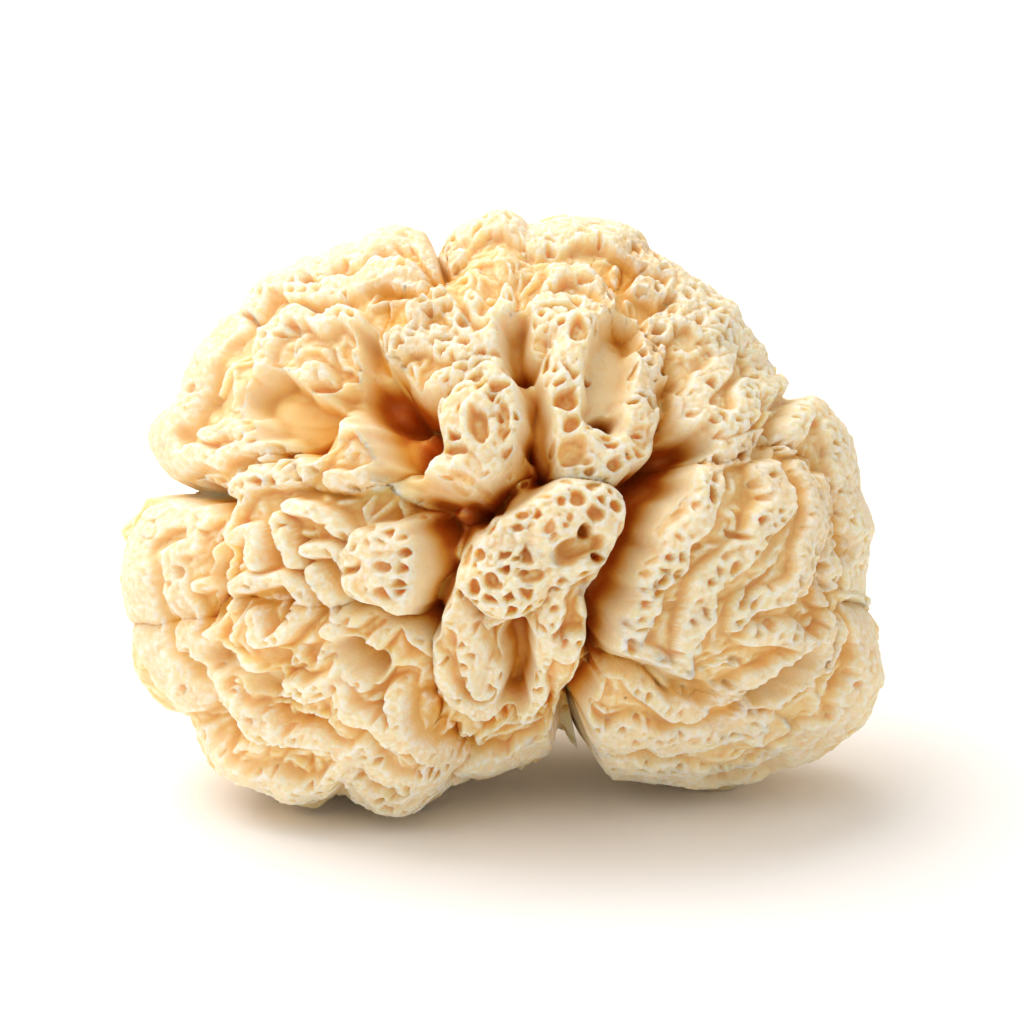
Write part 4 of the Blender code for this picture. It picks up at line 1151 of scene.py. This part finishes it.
@dataclass
class FungusHead:
    """The head: bundles of fronds, each a closed piece that reaches in to the root."""

    face: Face = field(default_factory=Face)
    relief: Relief = field(default_factory=Relief)
    weave: Weave = field(default_factory=Weave)
    finish: Jelly = field(default_factory=Jelly)

    def bulge(self, fall: Points, cells: int) -> Points:
        """How far each place of a square grid stands out of the ring of places a few cells away.

        Args:
            fall: how far the places lie below the envelope, in millimetres.
            cells: the ring's half width in cells.

        Returns:
            The height over the ring's mean, in millimetres.
        """
        count = math.isqrt(len(fall))
        padded = np.pad(fall.reshape(count, count), cells, mode="edge")
        steps = [(down, along) for down in (0, cells, 2 * cells) for along in (0, cells, 2 * cells)
                 if (down, along) != (cells, cells)]
        ring = sum(padded[down:down + count, along:along + count] for down, along in steps) / len(steps)
        return ring.ravel() - fall

    def grade(self, fall: Points) -> Points:
        """How steeply the places of a square grid fall, in millimetres for each cell."""
        count = math.isqrt(len(fall))
        return np.hypot(*np.gradient(fall.reshape(count, count))).ravel()

    def grid(self, front: bool) -> tuple[Points, Points, Points, Points]:
        """Wraps a square grid round the front or the back of the dome, as far as the seam.

        Args:
            front: the front half if true.

        Returns:
            The envelope's places and outward directions, and the angles from the forward pole
            of each place and of the seam there.
        """
        weave = self.weave
        side = np.linspace(-1.0, 1.0, (weave.front_steps if front else weave.back_steps) + 1)
        radius, turn = disc_of_square(*np.meshgrid(side, side, indexing="ij"))
        turn = turn if front else math.pi - turn
        round_face = 1.6 * np.stack((np.cos(turn), np.sin(turn)), axis=-1)
        seam = weave.seam + weave.seam_wave * soft_noise(round_face, weave.seam_wave_size, Pattern.SEAM)
        angle = radius * seam if front else math.pi - radius * (math.pi - seam)
        places = self.face.dome(angle, turn)
        outward = np.stack((np.sin(angle) * np.cos(turn), np.sin(angle) * np.sin(turn), np.cos(angle)), axis=-1)
        return places.reshape(-1, 3), outward.reshape(-1, 3), angle.ravel(), seam.ravel()

    def smoothed(self, broad: tuple[Points, Points, Points, Points]) -> tuple[Points, Points, Points, Points]:
        """Makes steep walls even.

        Args:
            broad: what the broad relief gave.

        Returns:
            The same with its fall drawn towards the mean of the places around, and its skin
            calmer where the fall is steep.
        """
        weave = self.weave
        steady = 1.0 / (1.0 + (self.grade(broad[0]) / weave.steep) ** 2)
        smooth = broad[0] + weave.smoothing * self.bulge(broad[0], 1)
        smooth = smooth + weave.smoothing * self.bulge(smooth, 2)
        return smooth, broad[1] * (weave.steep_calm + (1.0 - weave.steep_calm) * steady), *broad[2:]

    def half(self, front: bool) -> Skins:
        """Works out the front or the back half of the skin.

        Args:
            front: the front half if true.

        Returns:
            The half's skin. Each place of the grid falls towards the root by the relief; the
            widest ring rises a little, the seam lies in a groove, and spikes are cut.
        """
        weave = self.weave
        places, outward, angle, seam = self.grid(front)
        wide = np.sin(angle)
        facing = smooth_step(*weave.facing, np.cos(angle))
        inward = unit(np.array(self.face.root) - places)
        sunk, calm, lead, owner = broad = self.smoothed(self.relief.broad(places, facing))
        floor = places + inward * sunk[:, None]
        fall, skin_fall, crest = self.relief.fall(places, floor, outward, facing, broad)
        quiet = 1.0 - weave.rim_quiet * smooth_step(0.93, 1.0, wide) * (fall > 0)
        fall = fall * quiet - weave.rim_rise * smooth_step(0.86, 0.99, wide)
        fall = fall + weave.groove * np.exp(-(((angle - seam) / weave.groove_width) ** 2))
        spike = self.bulge(fall, 1)
        fall = fall + spike - np.clip(spike, -weave.sharpest, weave.sharpest)
        bulge = self.bulge(fall, weave.edge_cells if front else weave.edge_cells // 2)
        bulge = np.clip(bulge / weave.edge_height, -1.0, 1.0)
        inner = smooth_step(0.0, weave.inner_turn, np.abs(angle - seam))
        # painted highlight: places standing out of their ring get paler, over the rims' own paler tone
        crest = np.clip((0.5 * crest + 0.9 * np.maximum(bulge, 0.0)) * calm, 0.0, 1.0)
        # painted shade: deep falls, fold hollows and places sunk below their ring darken to amber and brown,
        # partly the jelly's own deeper tint
        depth = 0.10 * skin_fall + 0.95 * smooth_step(*weave.amber_falls, fall) + 0.12 * np.maximum(-bulge, 0.0)
        if front:
            inner = inner * (1.0 - np.exp(-lead / weave.inner_reach))
            # painted shade along the parting valleys where two bundles meet
            depth = depth + weave.seam_shade_depth * np.exp(-lead / weave.seam_shade_reach) * facing
        count = math.isqrt(len(fall))
        triangles = grid_triangles(np.arange(len(fall)).reshape(count, count))
        bundles = BUNDLE_OF[owner] if front else np.zeros(len(fall), int)
        return Skins(places + inward * fall[:, None], triangles, depth, crest, inner, bundles)

    def part(self, skins: Skins, bundle: int) -> tuple[Skins, int]:
        """Takes one bundle out of a half.

        Args:
            skins: the half.
            bundle: the bundle's number.

        Returns:
            The bundle as a closed surface, and how many of its triangles are skin. The bundle
            is the triangles whose first corner it owns; each edge that only one of them has is
            joined to the root, so the piece reaches inwards like a wedge.
        """
        chosen = skins.triangles[skins.owner[skins.triangles[:, 0]] == bundle]
        used, corners = np.unique(chosen, return_inverse=True)
        corners = corners.reshape(-1, 3)
        edges = np.concatenate([corners[:, [0, 1]], corners[:, [1, 2]], corners[:, [2, 0]]])
        key = edges.min(axis=1) * len(used) + edges.max(axis=1)
        found, back, count = np.unique(key, return_inverse=True, return_counts=True)
        rim = edges[count[back.ravel()] == 1]
        wedge = np.stack((rim[:, 1], rim[:, 0], np.full(len(rim), len(used))), axis=1)
        places = np.vstack((skins.places[used], self.face.root))
        depth, crest = np.append(skins.depth[used], 1.0), np.append(skins.crest[used], 0.0)
        inner, triangles = np.append(skins.inner[used], 1.0), np.concatenate((corners, wedge))
        return Skins(places, triangles, depth, crest, inner, np.full(len(places), bundle)), len(corners)

    def add_piece(self, name: str, skins: Skins, shown: int, material: bpy.types.Material) -> bpy.types.Object:
        """Makes a piece's mesh object and lets it ride on the head's body.

        Args:
            name: the object's name.
            skins: its closed surface.
            shown: how many of its triangles are skin, which is shaded smooth; the rest is flat.
            material: its finish.

        Returns:
            The object. Points under the floor are laid flat on it.
        """
        places = self.face.to_world(skins.places)
        places[:, 2] = np.maximum(places[:, 2], 0.0)
        mesh = bpy.data.meshes.new(name)
        mesh.vertices.add(len(places))
        mesh.vertices.foreach_set("co", (places * MM).ravel())
        mesh.loops.add(skins.triangles.size)
        mesh.loops.foreach_set("vertex_index", skins.triangles.ravel())
        mesh.polygons.add(len(skins.triangles))
        mesh.polygons.foreach_set("loop_start", np.arange(0, skins.triangles.size, 3))
        mesh.polygons.foreach_set("use_smooth", np.arange(len(skins.triangles)) < shown)
        mesh.update(calc_edges=True)
        for key, values in (("depth", skins.depth), ("crest", skins.crest), ("inner", skins.inner)):
            mesh.attributes.new(key, "FLOAT", "POINT").data.foreach_set("value", np.clip(values, 0.0, 1.0))
        mesh.materials.append(material)
        piece = bpy.data.objects.new(name, mesh)
        bpy.context.scene.collection.objects.link(piece)
        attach(piece, BODY)
        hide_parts(NODE)
        log.info("%s: %d triangles", name, len(skins.triangles))
        return piece

    def build(self) -> None:
        """Makes every bundle of the front, and the back, with the one finish."""
        material = self.finish.material()
        front, back = self.half(True), self.half(False)
        for number, name in enumerate(BUNDLES):
            self.add_piece(name, *self.part(front, number), material)
        self.add_piece("fungus_back_fronds", *self.part(back, 0), material)


@dataclass(frozen=True)
class Lamp:
    """A square soft light: its name, place and size in metres, power in watts and colour."""

    name: str
    place: Place
    size: float
    power: float
    colour: Colour


@dataclass
class Studio:
    """The pale floor, the soft lights and the camera."""

    lamps: tuple[Lamp, ...] = (
        Lamp("key", (-0.38, 0.36, 0.88), 1.1, 10.8, (1.0, 0.98, 0.96)),
        Lamp("fill", (-0.6, -0.4, 0.85), 0.9, 2.8, (1.0, 1.0, 1.0)),
    )
    lamp_aim: Place = (0.0, 0.0, 0.035)
    room_colour: Colour = (1.0, 0.945, 0.885)
    room_strength: float = 0.60
    floor_colour: Colour = (0.97, 0.97, 0.97)
    floor_roughness: float = 0.9

    view: tuple[float, float] = (1.5, 38.5)
    width: float = 128.0
    distance: float = 900.0
    sensor: float = 36.0
    floor_size: float = 6.0

    def add_floor(self) -> None:
        """A wide pale floor at z = 0."""
        bpy.ops.mesh.primitive_plane_add(size=self.floor_size)
        floor = bpy.context.object
        floor.name = "floor"
        made = bpy.data.materials.new("pale_floor")
        made.use_nodes = True
        shader = made.node_tree.nodes["Principled BSDF"]
        shader.inputs["Base Color"].default_value = (*self.floor_colour, 1.0)
        shader.inputs["Roughness"].default_value = self.floor_roughness
        shader.inputs["Specular IOR Level"].default_value = 0.0
        floor.data.materials.append(made)

    def add_light(self, lamp: Lamp) -> None:
        """Sets up a lamp, aimed at the head.

        Args:
            lamp: the lamp's place, size, power and colour.
        """
        light = bpy.data.lights.new(lamp.name, "AREA")
        light.size = lamp.size
        light.energy = lamp.power
        light.color = lamp.colour
        holder = bpy.data.objects.new(lamp.name, light)
        holder.location = lamp.place
        aim = Vector(self.lamp_aim) - Vector(lamp.place)
        holder.rotation_euler = aim.to_track_quat("-Z", "Y").to_euler()
        bpy.context.scene.collection.objects.link(holder)

    def add_camera(self, face: Face) -> None:
        """Sets a long lens square to the face, at the photograph's height and side.

        Args:
            face: how the face leans.
        """
        lens = bpy.data.cameras.new("camera")
        lens.sensor_width = self.sensor
        lens.lens = self.sensor * self.distance / self.width
        lens.clip_end = 20.0
        camera = bpy.data.objects.new("camera", lens)
        camera.location = face.to_world(np.array((*self.view, self.distance))) * MM
        camera.rotation_euler = (math.pi / 2 - face.tilt, 0.0, 0.0)
        bpy.context.scene.collection.objects.link(camera)
        bpy.context.scene.camera = camera

    def build(self, face: Face) -> None:
        """Sets the floor, the lights, the white surroundings and the camera.

        Args:
            face: how the face leans.
        """
        self.add_floor()
        for lamp in self.lamps:
            self.add_light(lamp)
        world = bpy.data.worlds.new("white_room")
        world.use_nodes = True
        background = world.node_tree.nodes["Background"]
        background.inputs["Color"].default_value = (*self.room_colour, 1.0)
        background.inputs["Strength"].default_value = self.room_strength
        bpy.context.scene.world = world
        bpy.context.scene.view_settings.view_transform = "Standard"
        self.add_camera(face)


def main() -> None:
    """Builds the head and the studio round it."""
    logging.basicConfig(level=logging.INFO, format="%(message)s")
    head = FungusHead()
    head.build()
    Studio().build(head.face)


if __name__ == "__main__":
    main()
